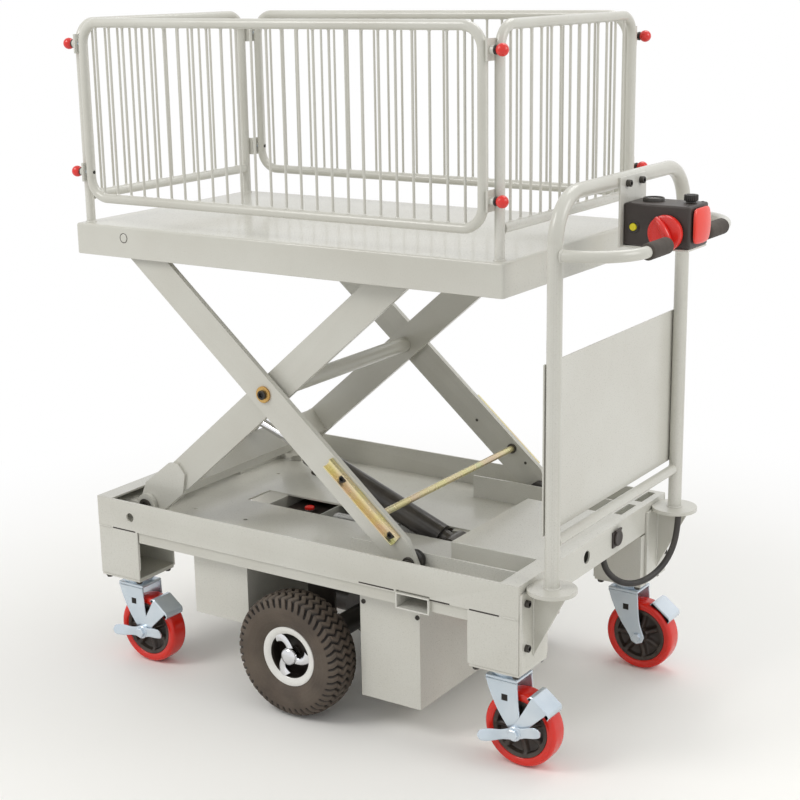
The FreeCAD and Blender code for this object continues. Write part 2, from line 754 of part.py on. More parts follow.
def build_handle():
    side, radius = handle_side, handle_tube
    hoop = tube([(handle_x, -side, disc_top), (handle_x, -side, handle_top),
                 (handle_x, side, handle_top), (handle_x, side, disc_top)],
                handle_bend, radius, handle_wall)
    grabs = []
    for hand in (-1, 1):
        start = (handle_x + radius - 2, hand * side, grab_z)
        end = (grab_x, hand * (grip_end + 4), grab_z)
        grabs.append(tube([start, (grab_x, hand * side, grab_z), end], grab_bend, grab_tube, 2))
    save("handle_frame", fused([hoop, *grabs]))
    grips = []
    turn = math.asin((grip_start - side + grab_bend) / grab_bend)
    for hand in (-1, 1):
        arc_centre = Vec(grab_x - grab_bend, hand * (side - grab_bend), grab_z)
        first = arc_centre + Vec(math.cos(turn), hand * math.sin(turn), 0) * grab_bend
        middle = arc_centre + Vec(math.cos(turn / 2), hand * math.sin(turn / 2), 0) * grab_bend
        last = arc_centre + Vec(grab_bend, 0, 0)
        finish = Vec(grab_x, hand * grip_end, grab_z)
        route = Part.Wire([Part.Arc(first, middle, last).toShape(),
                           Part.LineSegment(last, finish).toShape()])
        end = (grab_x, hand * (grip_end + 4), grab_z)
        core = Part.Wire([Part.Arc(first, middle, last).toShape(),
                          Part.LineSegment(last, Vec(*end)).toShape()])
        grips.append(swept(route, grip_radius).cut(swept(core, grab_tube)))
    save("foam_grips", *grips)


def handle_foot(side):
    """Plate on the chassis end, a gusset under the post and the round shelf it stands on."""
    y = side * handle_side
    back = chassis_end
    wall = box(back, back + 6, side * 222, side * 318, box_foot, disc_top - disc_thick)
    disc = rod((handle_x, y, disc_top - disc_thick), (handle_x, y, disc_top), disc_radius)
    disc = disc.cut(box(back - 40, back, y - 60, y + 60, disc_top - 20, disc_top + 1))
    disc_foot = disc_top - disc_thick
    gusset = prism_y([(back + 6, 228), (back + 6, disc_foot), (handle_x + 32, disc_foot)], y - 3, y + 3)
    return fused([wall, disc, gusset])


def build_handle_fittings():
    save("handle_feet", handle_foot(-1), handle_foot(1))
    inner = handle_side - handle_tube
    back = handle_x - handle_tube
    sheet = box(back - 3, back, -handle_side - 10, handle_side + 10, panel_foot, panel_top)
    rail = rod((handle_x, -inner + 0.5, 456), (handle_x, inner - 0.5, 456), 10)
    save("handle_panel", sheet, rail)
    front = handle_x + handle_tube
    upright = box(front, head_back, -55, 55, head_foot - 4, handle_top + 9)
    shelf = box(front, head_front - 2, -head_half, head_half, head_foot - 4, head_foot)
    save("head_bracket", fused([upright, shelf]))


def build_head():
    half = head_half
    housing = box(head_back, head_front, -half + 0.5, half - 0.5, head_foot, head_top)
    edges = [edge for edge in housing.Edges if abs(edge.tangentAt(edge.FirstParameter).x) > 0.5]
    housing = housing.makeFillet(6, edges)
    shaft = rod((throttle_x, -half - 1, throttle_z), (throttle_x, half + 1, throttle_z), 7 + running_fit)
    button_hole = rod((button_x, -half, button_z), (button_x, -half + 14, button_z), button_radius + 0.3)
    key_hole = rod((key_x, key_y, head_top - 18), (key_x, key_y, head_top + 1), key_radius + 0.3)
    pad_bore = box(head_front - 8, head_front + 1, -12, 12, stop_post_foot - 0.5, stop_post_top + 0.5)
    housing = housing.cut(shaft).cut(button_hole).cut(key_hole).cut(pad_bore)
    save("head_housing", housing)
    knobs = [rod((throttle_x, -half - 4, throttle_z), (throttle_x, half + 4, throttle_z), 7)]
    for side in (-1, 1):
        face = side * (half + 3)
        disc_face = face + side * 12
        disc = rod((throttle_x, face, throttle_z), (throttle_x, disc_face, throttle_z), throttle_radius)
        bar = box(throttle_x - 9, throttle_x + 9, disc_face, disc_face + side * 15,
                  throttle_z - 30, throttle_z + 30)
        bar.rotate(Vec(throttle_x, 0, throttle_z), Y_AXIS, -38)
        knobs += [disc, bar]
    save("throttle_knobs", fused(knobs))
    save("horn_button", rod((button_x, -half - 5, button_z), (button_x, -half + 8, button_z), button_radius))
    stem = rod((key_x, key_y, head_top - 16), (key_x, key_y, head_top + 3), key_radius)
    grip = box(key_x - 9, key_x + 9, key_y - 5, key_y + 5, head_top + 1, head_top + 15)
    skirt = rod((key_x, key_y, head_top + 1), (key_x, key_y, head_top + 6), 12)
    save("selector_knob", fused([stem, grip, skirt]))
    pad = box(head_front + 4, stop_pad_front, -34, 34, stop_pad_foot, stop_pad_top)
    pad = pad.makeFillet(5, [edge for edge in pad.Edges if edge.BoundBox.XMax > stop_pad_front - 1])
    post = box(head_front - 4, head_front + 4, -11.5, 11.5, stop_post_foot, stop_post_top)
    save("e_stop_pad", fused([pad, post]))
    gauge = rod((gauge_x, gauge_y, head_top), (gauge_x, gauge_y, head_top + 7), 20)
    save("battery_gauge", gauge)


def charge_socket():
    body = rod((cover_right + 2, 83, 350), (chassis_end + 2, 83, 350), 14.7)
    flange = box(chassis_end, chassis_end + 3, 63, 103, 334, 366)
    lid = box(chassis_end + 3, chassis_end + 8, 66, 100, 332, 368)
    return fused([body, flange, lid])


def bend_radii(points):
    points = [Vec(*point) for point in points]
    radii = []
    for before, corner, after in zip(points, points[1:], points[2:]):
        into, out = corner - before, after - corner
        half_turn = into.getAngle(out) / 2
        radii.append(0.45 * min(into.Length, out.Length) / math.tan(half_turn))
    return radii


def control_cable():
    radii = bend_radii(cable_route)
    wire = bent_wire(cable_route, radii)
    cable = swept(wire, cable_radius)
    expected = math.pi * cable_radius ** 2 * wire.Length
    print("cable bend radii", [round(radius) for radius in radii])
    print("cable volume against its length", round(cable.Volume / expected, 4))
    return cable


def screw_heads():
    """Bolt heads and pins that stay with the chassis."""
    screws = []
    for side in (-1, 1):
        ear = side * (inner_arm_face + 17)
        end = side * (inner_arm_face - arm_thick - 3)
        screws.append(rod((foot_x, end, foot_z), (foot_x, ear + side * 3, foot_z), foot_pin_radius))
        for z in (255, 343):
            y = side * 302
            screws.append(rod((chassis_end + 6, y, z), (chassis_end + 14, y, z), 7))
        for x, z in ((152, 266), (278, 258)):
            screws.append(rod((x + 3, side * 290, z), (x + 3, side * 294, z), 5))
        for end in (-1, 1):
            x, y = end * caster_x, side * caster_side
            under = box_foot - caster_plate_thick
            for dx in (-43, 43):
                for dy in (-46, 46):
                    screws.append(rod((x + dx, y + dy, under - 7), (x + dx, y + dy, under), 6.5))
    screws.append(rod((cylinder_x, -41, cylinder_z), (cylinder_x, 41, cylinder_z), pivot_radius))
    for y in (-28, 28):
        z = handle_top - 4
        screws.append(rod((head_back, y, z), (head_back + 10, y, z), 6.5))
    return screws


def build_all():
    build_chassis()
    build_power()
    save("drive_unit", drive_unit())
    build_drive_wheels()
    build_casters()
    build_scissor()
    save("safety_prop", safety_prop())
    build_cylinder()
    build_deck()
    build_fence()
    build_handle()
    build_handle_fittings()
    build_head()
    save("charge_socket", charge_socket())
    save("control_cable", control_cable())
    save("frame_screws", *screw_heads())


os.makedirs("parts", exist_ok=True)
build_all()
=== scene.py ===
import json
import math
import bmesh
import bpy
import numpy as np
from mathutils import Matrix, Vector

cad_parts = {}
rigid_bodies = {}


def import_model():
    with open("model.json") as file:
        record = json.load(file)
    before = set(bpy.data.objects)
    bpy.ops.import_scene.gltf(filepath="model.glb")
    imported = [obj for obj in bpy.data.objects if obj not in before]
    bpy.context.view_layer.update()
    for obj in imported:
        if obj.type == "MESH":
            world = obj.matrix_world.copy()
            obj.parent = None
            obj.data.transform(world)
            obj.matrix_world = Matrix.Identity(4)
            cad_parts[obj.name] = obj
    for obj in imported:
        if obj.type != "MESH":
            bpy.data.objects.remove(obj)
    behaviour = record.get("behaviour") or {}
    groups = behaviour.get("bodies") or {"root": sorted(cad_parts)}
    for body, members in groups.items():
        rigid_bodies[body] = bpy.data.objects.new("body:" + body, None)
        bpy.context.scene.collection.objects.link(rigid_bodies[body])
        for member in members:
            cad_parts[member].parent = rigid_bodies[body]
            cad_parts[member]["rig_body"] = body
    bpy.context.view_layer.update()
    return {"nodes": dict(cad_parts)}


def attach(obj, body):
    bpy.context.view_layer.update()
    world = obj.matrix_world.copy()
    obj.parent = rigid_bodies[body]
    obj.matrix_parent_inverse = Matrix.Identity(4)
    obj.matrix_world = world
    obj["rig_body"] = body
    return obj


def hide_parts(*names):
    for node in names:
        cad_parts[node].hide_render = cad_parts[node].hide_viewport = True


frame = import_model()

cadNodes = frame["nodes"]
print("frame loaded")

# Every length below is in millimetres from the drive axle; toRow moves it to metres in the frame.
axleShift = [-82.0, 0.0, 0.0]
sides = {"near": -1, "far": 1}
ends = {"left": -1, "right": 1}


def toRow(points):
    return (np.asarray(points, float) + axleShift) / 1000


def addObject(name, data):
    thing = bpy.data.objects.new(name, data)
    bpy.context.scene.collection.objects.link(thing)
    return thing


# Camera, at the photograph's viewing angle.
cameraView = {"place": (1853.9, -2714.8, 1461.9), "yaw": 33.508, "pitch": -14.893, "roll": -0.897,
              "lens": 72.38}


def makeCamera():
    data = bpy.data.cameras.new("photoCamera")
    data.lens = cameraView["lens"]
    data.sensor_width = 36
    data.clip_start, data.clip_end = 0.05, 60
    camera = addObject("photoCamera", data)
    yaw, pitch, roll = (math.radians(cameraView[key]) for key in ("yaw", "pitch", "roll"))
    forward = Vector((-math.sin(yaw) * math.cos(pitch), math.cos(yaw) * math.cos(pitch), math.sin(pitch)))
    level = Vector((math.cos(yaw), math.sin(yaw), 0))
    upward = level.cross(forward)
    across = level * math.cos(roll) + upward * math.sin(roll)
    above = upward * math.cos(roll) - level * math.sin(roll)
    turn = Matrix((across, above, -forward)).transposed().to_4x4()
    camera.matrix_world = Matrix.Translation(Vector(toRow(cameraView["place"]))) @ turn
    bpy.context.scene.camera = camera


makeCamera()
bpy.context.scene.view_settings.view_transform = "Standard"

# Colours and finishes.
# Linear colour from the 0 to 255 numbers that a screen shows.
def fromScreen(red, green, blue):
    value = np.array([red, green, blue]) / 255
    linear = np.where(value <= 0.04045, value / 12.92, ((value + 0.055) / 1.055) ** 2.4)
    return (*linear.tolist(), 1.0)


# An input of the new node gets a value, or a link where another node's socket is given.
def addNode(tree, kind, inputs=None, **settings):
    node = tree.nodes.new(kind)
    for key, value in settings.items():
        setattr(node, key, value)
    for key, value in (inputs or {}).items():
        if isinstance(value, bpy.types.NodeSocket):
            tree.links.new(value, node.inputs[key])
        else:
            node.inputs[key].default_value = value
    return node


def blendOf(tree, share, first, second):
    return addNode(tree, "ShaderNodeMix", {0: share, 6: first, 7: second}, data_type="RGBA").outputs[2]


def spreadOf(tree, value, low, high, least=0.0, most=1.0):
    return addNode(tree, "ShaderNodeMapRange", {0: value, 1: low, 2: high, 3: least, 4: most}).outputs[0]


def productOf(tree, first, second):
    return addNode(tree, "ShaderNodeMath", {0: first, 1: second}, operation="MULTIPLY",
                   use_clamp=True).outputs[0]


def noiseOf(tree, **inputs):
    place = addNode(tree, "ShaderNodeTexCoord").outputs["Object"]
    return addNode(tree, "ShaderNodeTexNoise", {"Vector": place, **inputs}).outputs["Fac"]


def newGroup(name, inputs, outputs):
    group = bpy.data.node_groups.new(name, "ShaderNodeTree")
    for way, sockets in (("INPUT", inputs), ("OUTPUT", outputs)):
        for label, kind in sockets.items():
            group.interface.new_socket(name=label, in_out=way, socket_type="NodeSocket" + kind)
    return group, group.nodes.new("NodeGroupInput").outputs, group.nodes.new("NodeGroupOutput").inputs


# Two tones mixed by a soft cloud, a paler edge where the surface is sharp (a painted highlight along the folds,
# with edge wear), and the film's roughness and height from its grain.
def makeToneGroup():
    group, given, result = newGroup(
        "mottledFilm",
        {"Base": "Color", "Shade": "Color", "Edge": "Color", "EdgeHighlightAndWear": "Float", "Cloud Scale": "Float",
         "Grain Scale": "Float", "Rough Low": "Float", "Rough High": "Float"},
        {"Color": "Color", "Roughness": "Float", "Height": "Float"})
    cloud = noiseOf(group, Scale=given["Cloud Scale"], Detail=4)
    grain = noiseOf(group, Scale=given["Grain Scale"], Detail=2)
    tone = blendOf(group, spreadOf(group, cloud, 0.32, 0.68), given["Base"], given["Shade"])
    # Sharp edges get the paler edge colour: a painted highlight where folds catch light, mixed with edge wear.
    sharpness = addNode(group, "ShaderNodeNewGeometry").outputs["Pointiness"]
    ridge = productOf(group, spreadOf(group, sharpness, 0.53, 0.62), grain)
    edged = blendOf(group, productOf(group, ridge, given["EdgeHighlightAndWear"]), tone, given["Edge"])
    rough = spreadOf(group, grain, 0.3, 0.7, given["Rough Low"], given["Rough High"])
    for label, socket in (("Color", edged), ("Roughness", rough), ("Height", grain)):
        group.links.new(socket, result[label])
    return group


# Pale dust in patches, most of it on faces that look up.
def makeDustGroup():
    group, given, result = newGroup(
        "settledDust", {"Color": "Color", "Dust": "Color", "Amount": "Float"}, {"Color": "Color"})
    normal = addNode(group, "ShaderNodeNewGeometry").outputs["Normal"]
    upward = addNode(group, "ShaderNodeSeparateXYZ", {0: normal}).outputs["Z"]
    patches = spreadOf(group, noiseOf(group, Scale=14, Detail=5), 0.4, 0.72)
    lying = productOf(group, spreadOf(group, upward, -0.2, 1.0, 0.25, 1.0), patches)
    dusty = blendOf(group, productOf(group, lying, given["Amount"]), given["Color"], given["Dust"])
    group.links.new(dusty, result["Color"])
    return group


toneGroup = makeToneGroup()
dustGroup = makeDustGroup()
dustTone = fromScreen(176, 166, 148)

# Base, shade and edge are screen colours, edge being the painted highlight and wear on sharp edges; rough is
# its lowest and highest, depth is the grain in millimetres.
finishKeys = ("base", "shade", "edge", "edgeHighlightAndWear", "cloud", "grain", "rough", "depth", "metal", "coat", "dust")
finishTable = {
    "greyPaint": ((201, 200, 191), (192, 190, 180), (232, 231, 225), 0.8, 3.5, 420,
                  (0.26, 0.38), 0.04, 0.0, 0.35, 0.1),
    "blackSteel": ((30, 28, 27), (44, 41, 38), (110, 106, 100), 1.0, 30, 700,
                   (0.32, 0.5), 0.05, 0.6, 0.0, 0.05),
    "bareSteel": ((176, 176, 172), (150, 150, 147), (226, 226, 222), 1.0, 20, 500,
                  (0.25, 0.42), 0.03, 0.95, 0.0, 0.05),
    "zincPlate": ((216, 225, 233), (196, 209, 220), (244, 248, 251), 0.05, 12, 90,
                  (0.23, 0.27), 0.002, 0.6, 0.3, 0.04),
    "yellowZinc": ((226, 219, 162), (206, 190, 150), (240, 236, 206), 0.05, 9, 90,
                   (0.24, 0.28), 0.002, 0.7, 0.0, 0.04),
    "brassWasher": ((196, 152, 82), (170, 122, 60), (236, 208, 140), 0.9, 40, 600,
                    (0.25, 0.4), 0.03, 0.9, 0.0, 0.06),
    "chromeRod": ((232, 232, 234), (214, 215, 218), (248, 248, 249), 0.3, 12, 900,
                  (0.1, 0.2), 0.008, 1.0, 0.0, 0.02),
    "blackPaint": ((42, 38, 35), (56, 51, 46), (96, 90, 84), 0.8, 14, 300,
                   (0.28, 0.46), 0.08, 0.0, 0.2, 0.16),
    "darkPlastic": ((58, 50, 46), (50, 43, 40), (92, 84, 79), 0.5, 20, 1300,
                    (0.36, 0.52), 0.06, 0.0, 0.0, 0.06),
    "hubPlastic": ((56, 44, 37), (44, 35, 30), (92, 78, 68), 0.6, 26, 700,
                   (0.32, 0.5), 0.05, 0.0, 0.0, 0.14),
    "gripFoam": ((78, 72, 66), (66, 60, 55), (98, 92, 86), 0.3, 30, 1500,
                 (0.75, 0.92), 0.35, 0.0, 0.0, 0.08),
    "cableJacket": ((36, 34, 33), (46, 43, 41), (70, 67, 64), 0.3, 30, 800,
                    (0.38, 0.55), 0.05, 0.0, 0.0, 0.12),
    "tyreRubber": ((86, 74, 63), (70, 60, 51), (112, 99, 85), 0.5, 18, 620,
                   (0.55, 0.75), 0.12, 0.0, 0.0, 0.16),
    "redTread": ((222, 34, 12), (208, 26, 12), (238, 70, 34), 0.05, 16, 90,
                 (0.21, 0.25), 0.002, 0.0, 0.15, 0.02),
    "rimWhite": ((232, 231, 226), (222, 220, 214), (248, 248, 246), 0.5, 18, 500,
                 (0.24, 0.36), 0.03, 0.0, 0.4, 0.08),
    "rimDark": ((34, 28, 25), (46, 38, 33), (74, 66, 58), 0.5, 24, 500,
                (0.4, 0.6), 0.05, 0.0, 0.0, 0.1),
    "redPlastic": ((224, 40, 30), (212, 32, 26), (244, 92, 72), 0.4, 14, 900,
                   (0.22, 0.36), 0.03, 0.0, 0.25, 0.03),
    "stopPlastic": ((236, 62, 44), (226, 50, 36), (250, 120, 96), 0.4, 14, 900,
                    (0.28, 0.42), 0.03, 0.0, 0.2, 0.03),
    "yellowPlastic": ((226, 216, 30), (214, 200, 26), (244, 238, 110), 0.3, 40, 900,
                      (0.3, 0.42), 0.03, 0.0, 0.0, 0.03),
    "blackNylon": ((34, 32, 31), (44, 41, 39), (84, 80, 76), 0.6, 30, 900,
                   (0.4, 0.55), 0.04, 0.0, 0.0, 0.1),
    "dialFace": ((30, 30, 32), (40, 40, 43), (60, 60, 62), 0.2, 60, 1500,
                 (0.12, 0.2), 0.01, 0.0, 0.8, 0.02),
}
# Painted shade in the tyre's grooves: this darker tone is mixed in by the groove mask.
grooveShadeTone = (27, 22, 18)
bumpStrength = 0.6
coatRoughness = 0.12


def makeFinish(name, row):
    spec = dict(zip(finishKeys, row))
    material = bpy.data.materials.new(name)
    material.use_nodes = True
    tree = material.node_tree
    shader = tree.nodes["Principled BSDF"]
    # The film also paints a highlight on sharp edges, with edge wear.
    film = addNode(tree, "ShaderNodeGroup", {
        "Base": fromScreen(*spec["base"]), "Shade": fromScreen(*spec["shade"]),
        "Edge": fromScreen(*spec["edge"]), "EdgeHighlightAndWear": spec["edgeHighlightAndWear"], "Cloud Scale": spec["cloud"],
        "Grain Scale": spec["grain"], "Rough Low": spec["rough"][0], "Rough High": spec["rough"][1],
    }, node_tree=toneGroup).outputs
    colour = addNode(tree, "ShaderNodeGroup", {
        "Color": film["Color"], "Dust": dustTone, "Amount": spec["dust"],
    }, node_tree=dustGroup).outputs["Color"]
    # Painted shade: the tyre's grooves are darkened by the groove mask.
    if name == "tyreRubber":
        mask = addNode(tree, "ShaderNodeAttribute", attribute_name="grooveShadeMask").outputs["Fac"]
        colour = blendOf(tree, mask, colour, fromScreen(*grooveShadeTone))
    bump = addNode(tree, "ShaderNodeBump", {"Strength": bumpStrength, "Distance": spec["depth"] / 1000,
                                            "Height": film["Height"]}).outputs["Normal"]
    for label, socket in (("Base Color", colour), ("Roughness", film["Roughness"]), ("Normal", bump)):
        tree.links.new(socket, shader.inputs[label])
    for label, value in (("Metallic", spec["metal"]), ("Coat Weight", spec["coat"]),
                         ("Coat Roughness", coatRoughness)):
        shader.inputs[label].default_value = value
    return material


finishes = {name: makeFinish(name, row) for name, row in finishTable.items()}


# The passivated zinc's bands run from gold through pink to green, in place of the film's second tone.
def addIridescence(material):
    tree = material.node_tree
    ramp = addNode(tree, "ShaderNodeValToRGB", {"Fac": noiseOf(tree, Scale=11, Detail=3, Distortion=1.5)})
    stops = ramp.color_ramp.elements
    stops[0].position, stops[0].color = 0.30, fromScreen(224, 210, 140)
    stops[1].position, stops[1].color = 0.70, fromScreen(204, 214, 172)
    stops.new(0.5).color = fromScreen(222, 196, 172)
    film = next(node for node in tree.nodes if node.type == "GROUP" and node.node_tree == toneGroup)
    tree.links.new(ramp.outputs["Color"], film.inputs["Shade"])


addIridescence(finishes["yellowZinc"])
print("finishes made")

# Shapes worked out with numpy.
# Number the points of each grid, join neighbours into quads, and wrap the grid where it closes.
def joinShells(shells):
    points, quads, slots = [], [], []
    start = 0
    for grid, wrapRows, wrapColumns, slot in shells:
        rows, columns = grid.shape[:2]
        number = np.arange(rows * columns).reshape(rows, columns) + start
        number = np.vstack([number, number[:1]]) if wrapRows else number
        number = np.hstack([number, number[:, :1]]) if wrapColumns else number
        corners = [number[:-1, :-1], number[1:, :-1], number[1:, 1:], number[:-1, 1:]]
        quad = np.stack(corners, -1).reshape(-1, 4)
        points.append(grid.reshape(-1, 3))
        quads.append(quad)
        slots.append(np.full(len(quad), slot, dtype=np.int32))
        start += rows * columns
    return np.vstack(points), np.vstack(quads), np.concatenate(slots)


# Joins the points that coincide and turns every face outwards.
def mergePoints(mesh, distance):
    work = bmesh.new()
    work.from_mesh(mesh)
    bmesh.ops.remove_doubles(work, verts=work.verts, dist=distance)
    bmesh.ops.recalc_face_normals(work, faces=work.faces)
    work.to_mesh(mesh)
    work.free()


def makePiece(name, shells, body, looks, sharp=38, attribute=None):
    points, quads, slots = joinShells(shells)
    mesh = bpy.data.meshes.new(name)
    mesh.from_pydata(toRow(points), [], quads.tolist())
    mesh.polygons.foreach_set("material_index", slots)
    # The attribute holds the tyre's groove mask, which paints shade into the grooves.
    if attribute is not None:
        layer = mesh.attributes.new("grooveShadeMask", "FLOAT", "POINT")
        layer.data.foreach_set("value", np.asarray(attribute, dtype=np.float32).ravel())
    mergePoints(mesh, 2e-6)
    mesh.shade_smooth()
    mesh.set_sharp_from_angle(angle=math.radians(sharp))
    for look in looks:
        mesh.materials.append(finishes[look])
    piece = addObject(name, mesh)
    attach(piece, body)
    return piece


axes = {"x": ((0, 1, 0), (0, 0, 1), (1, 0, 0)), "y": ((1, 0, 0), (0, 0, 1), (0, 1, 0)),
        "z": ((1, 0, 0), (0, 1, 0), (0, 0, 1))}


# Two directions across an axis and the axis itself, from its letter or from a vector.
def frameOf(axis):
    if isinstance(axis, str):
        return np.array(axes[axis], float)
    along = np.asarray(axis, float) / np.linalg.norm(axis)
    helper = np.array([0, 1, 0]) if abs(along[1]) < 0.9 else np.array([1, 0, 0])
    first = np.cross(helper, along)
    first /= np.linalg.norm(first)
    return np.array([first, np.cross(along, first), along])


# Turn (radius, offset) points about an axis; ripple changes the radius by point and angle.
def lathe(profile, centre, axis, steps=48, slot=0, ripple=None, wrap=False):
    profile = np.asarray(profile, float)
    angle = np.linspace(0, 2 * np.pi, steps, endpoint=False)
    radius = np.repeat(profile[:, :1], steps, axis=1)
    if ripple is not None:
        radius = radius + ripple(profile, angle)
    first, second, along = frameOf(axis)
    grid = (np.asarray(centre, float) + radius[..., None] * (np.cos(angle)[None, :, None] * first
            + np.sin(angle)[None, :, None] * second) + profile[:, 1][:, None, None] * along)
    return grid, wrap, True, slot


# Catmull-Rom curve through the points: each span mixes its four nearest points by cubic weights.
def smoothLine(points, count, closed=False):
    points = np.asarray(points, float)
    if closed:
        padded = np.vstack([points[-1:], points, points[:2]])
    else:
        padded = np.vstack([2 * points[0] - points[1], points, 2 * points[-1] - points[-2]])
    spans = len(padded) - 3
    where = np.linspace(0, spans, count, endpoint=not closed)
    index = np.minimum(where.astype(int), spans - 1)
    t = (where - index)[:, None]
    a, b, c, d = (padded[index + step] for step in range(4))
    return 0.5 * (2 * b + (c - a) * t + (2 * a - 5 * b + 4 * c - d) * t ** 2
                  + (3 * b - a - 3 * c + d) * t ** 3)


# Replace each corner of a closed outline by a quadratic arc that starts and ends radius away from it.
def roundCorners(points, radius, steps=5):
    points = np.asarray(points, float)
    back = np.roll(points, 1, axis=0) - points
    ahead = np.roll(points, -1, axis=0) - points
    backLength = np.linalg.norm(back, axis=1, keepdims=True)
    aheadLength = np.linalg.norm(ahead, axis=1, keepdims=True)
    radius = np.broadcast_to(np.asarray(radius, float), (len(points),))[:, None]
    start = points + back / backLength * np.minimum(radius, 0.49 * backLength)
    end = points + ahead / aheadLength * np.minimum(radius, 0.49 * aheadLength)
    t = np.linspace(0, 1, steps)[None, :, None]
    arc = (1 - t) ** 2 * start[:, None] + 2 * t * (1 - t) * points[:, None] + t ** 2 * end[:, None]
    return arc.reshape(-1, points.shape[1])


# A plate: the outline drawn in towards its own normal at both faces, and closed to its middle.
def slab(outline, low, high, edge=0.8, axis="y", slot=0):
    outline = np.asarray(outline, float)
    run = np.roll(outline, -1, axis=0) - np.roll(outline, 1, axis=0)
    normal = np.stack([run[:, 1], -run[:, 0]], axis=1)
    normal /= np.maximum(np.linalg.norm(normal, axis=1, keepdims=True), 1e-9)
    area = np.sum(outline[:, 0] * np.roll(outline[:, 1], -1) - outline[:, 1] * np.roll(outline[:, 0], -1))
    inset = outline - normal * edge * np.sign(area)
    middle = np.repeat(outline.mean(axis=0, keepdims=True), len(outline), axis=0)
    rims = [middle, inset, outline, outline, inset, middle]
    heights = [low, low, low + edge, high - edge, high, high]
    rows = []
    for rim, height in zip(rims, heights):
        level = np.full((len(rim), 1), height)
        if axis == "y":
            rows.append(np.hstack([rim[:, :1], level, rim[:, 1:]]))
        elif axis == "x":
            rows.append(np.hstack([level, rim]))
        else:
            rows.append(np.hstack([rim, level]))
    return np.array(rows), False, True, slot


# A sphere of the edge radius, with each eighth moved out to its own corner of the box.
def roundBlock(low, high, radius, slot=0, steps=6):
    low, high = np.asarray(low, float), np.asarray(high, float)
    middle, half = (low + high) / 2, (high - low) / 2 - radius
    tilt = np.linspace(-np.pi / 2, 0, steps)
    tilt = np.concatenate([tilt, tilt + np.pi / 2])
    signTilt = np.repeat([-1.0, 1.0], steps)
    quarter = np.linspace(0, np.pi / 2, steps)
    turn = np.concatenate([quarter + np.pi / 2 * k for k in range(4)])
    signX = np.repeat([1.0, -1.0, -1.0, 1.0], steps)
    signY = np.repeat([1.0, 1.0, -1.0, -1.0], steps)
    x = middle[0] + signX[None] * half[0] + radius * np.cos(tilt)[:, None] * np.cos(turn)[None]
    y = middle[1] + signY[None] * half[1] + radius * np.cos(tilt)[:, None] * np.sin(turn)[None]
    z = middle[2] + signTilt[:, None] * half[2] + radius * np.sin(tilt)[:, None] + 0 * x
    grid = np.stack([x, y, z], axis=-1)
    pole = np.repeat(np.array([[middle[0], middle[1], 0]]), len(turn), axis=0)
    foot, head = pole.copy(), pole.copy()
    foot[:, 2], head[:, 2] = low[2], high[2]
    grid = np.vstack([foot[None], grid, head[None]])
    return grid, False, True, slot


# Carry an ellipse along a path: the ellipse lies across the path's own direction, closed at both ends.
def sweep(path, width, height=None, upward=(0, 0, 1), steps=16, slot=0, ripple=None):
    path = np.asarray(path, float)
    count = len(path)
    width = np.broadcast_to(np.asarray(width, float), (count,))
    height = width if height is None else np.broadcast_to(np.asarray(height, float), (count,))
    along = np.gradient(path, axis=0)
    along /= np.linalg.norm(along, axis=1, keepdims=True)
    across = np.cross(along, np.asarray(upward, float))
    across /= np.linalg.norm(across, axis=1, keepdims=True)
    above = np.cross(across, along)
    angle = np.linspace(0, 2 * np.pi, steps, endpoint=False)
    reach = np.ones((count, steps)) if ripple is None else ripple(count, angle)
    ring = (path[:, None] + (reach * width[:, None] * np.cos(angle)[None])[..., None] * across[:, None]
            + (reach * height[:, None] * np.sin(angle)[None])[..., None] * above[:, None])
    caps = np.repeat(path[[0, -1]][:, None], steps, axis=1)
    return np.vstack([caps[:1], ring, caps[1:]]), False, True, slot


# A torus whose thickness swells and shrinks round the joint like a run of weld.
def weldRing(centre, axis, radius, bead=2.4, slot=0):
    turn = np.linspace(0, 2 * np.pi, 60, endpoint=False)[:, None]
    angle = np.linspace(0, 2 * np.pi, 8, endpoint=False)[None]
    thick = bead * (1 + 0.18 * np.abs(np.sin(turn * 11)) + 0.12 * np.sin(turn * 3 + 1))
    first, second, along = frameOf(axis)
    reach = radius + thick * np.cos(angle) * 0.8
    grid = (np.asarray(centre, float) + (reach * np.cos(turn))[..., None] * first
            + (reach * np.sin(turn))[..., None] * second + (thick * np.sin(angle))[..., None] * along)
    return grid, True, True, slot


# A low sweep whose radius ripples along a straight joint.
def weldLine(start, end, bead=2.2, slot=0):
    start, end = np.asarray(start, float), np.asarray(end, float)
    length = np.linalg.norm(end - start)
    count = max(12, int(length / 1.5))
    t = np.linspace(0, 1, count)[:, None]
    upward = (0, 0, 1) if abs((end - start)[2]) < 0.9 * length else (1, 0, 0)
    wave = 1 + 0.2 * np.abs(np.sin(np.linspace(0, length / 5 * np.pi, count)))
    taper = np.clip(np.minimum(t, 1 - t)[:, 0] * count / 3, 0.15, 1)
    return sweep(start + (end - start) * t, bead * wave * taper, upward=upward, steps=8, slot=slot)


# Radius added to a circle through a hexagon's corners so that its sides come out flat.
def hexSize(profile, angle):
    flat = np.cos(np.pi / 6) / np.cos((angle + np.pi / 6) % (np.pi / 3) - np.pi / 6)
    return profile[:, :1] * (flat[None] - 1) * (profile[:, :1] > 0)


# Hexagon head with a chamfered top, on a washer where one is given.
def hexBolt(centre, axis, size, height, slot=0, washer=0.0):
    base = 1.6 if washer else 0.0
    shells = [lathe([(0, base), (size, base), (size, base + height * 0.8), (size * 0.9, base + height),
                     (0, base + height)], centre, axis, 36, slot, hexSize)]
    if washer:
        shells.append(lathe([(0, 0), (washer, 0), (washer, 1.2), (washer - 0.6, 1.6), (0, 1.6)], centre, axis,
                            32, slot))
    return shells


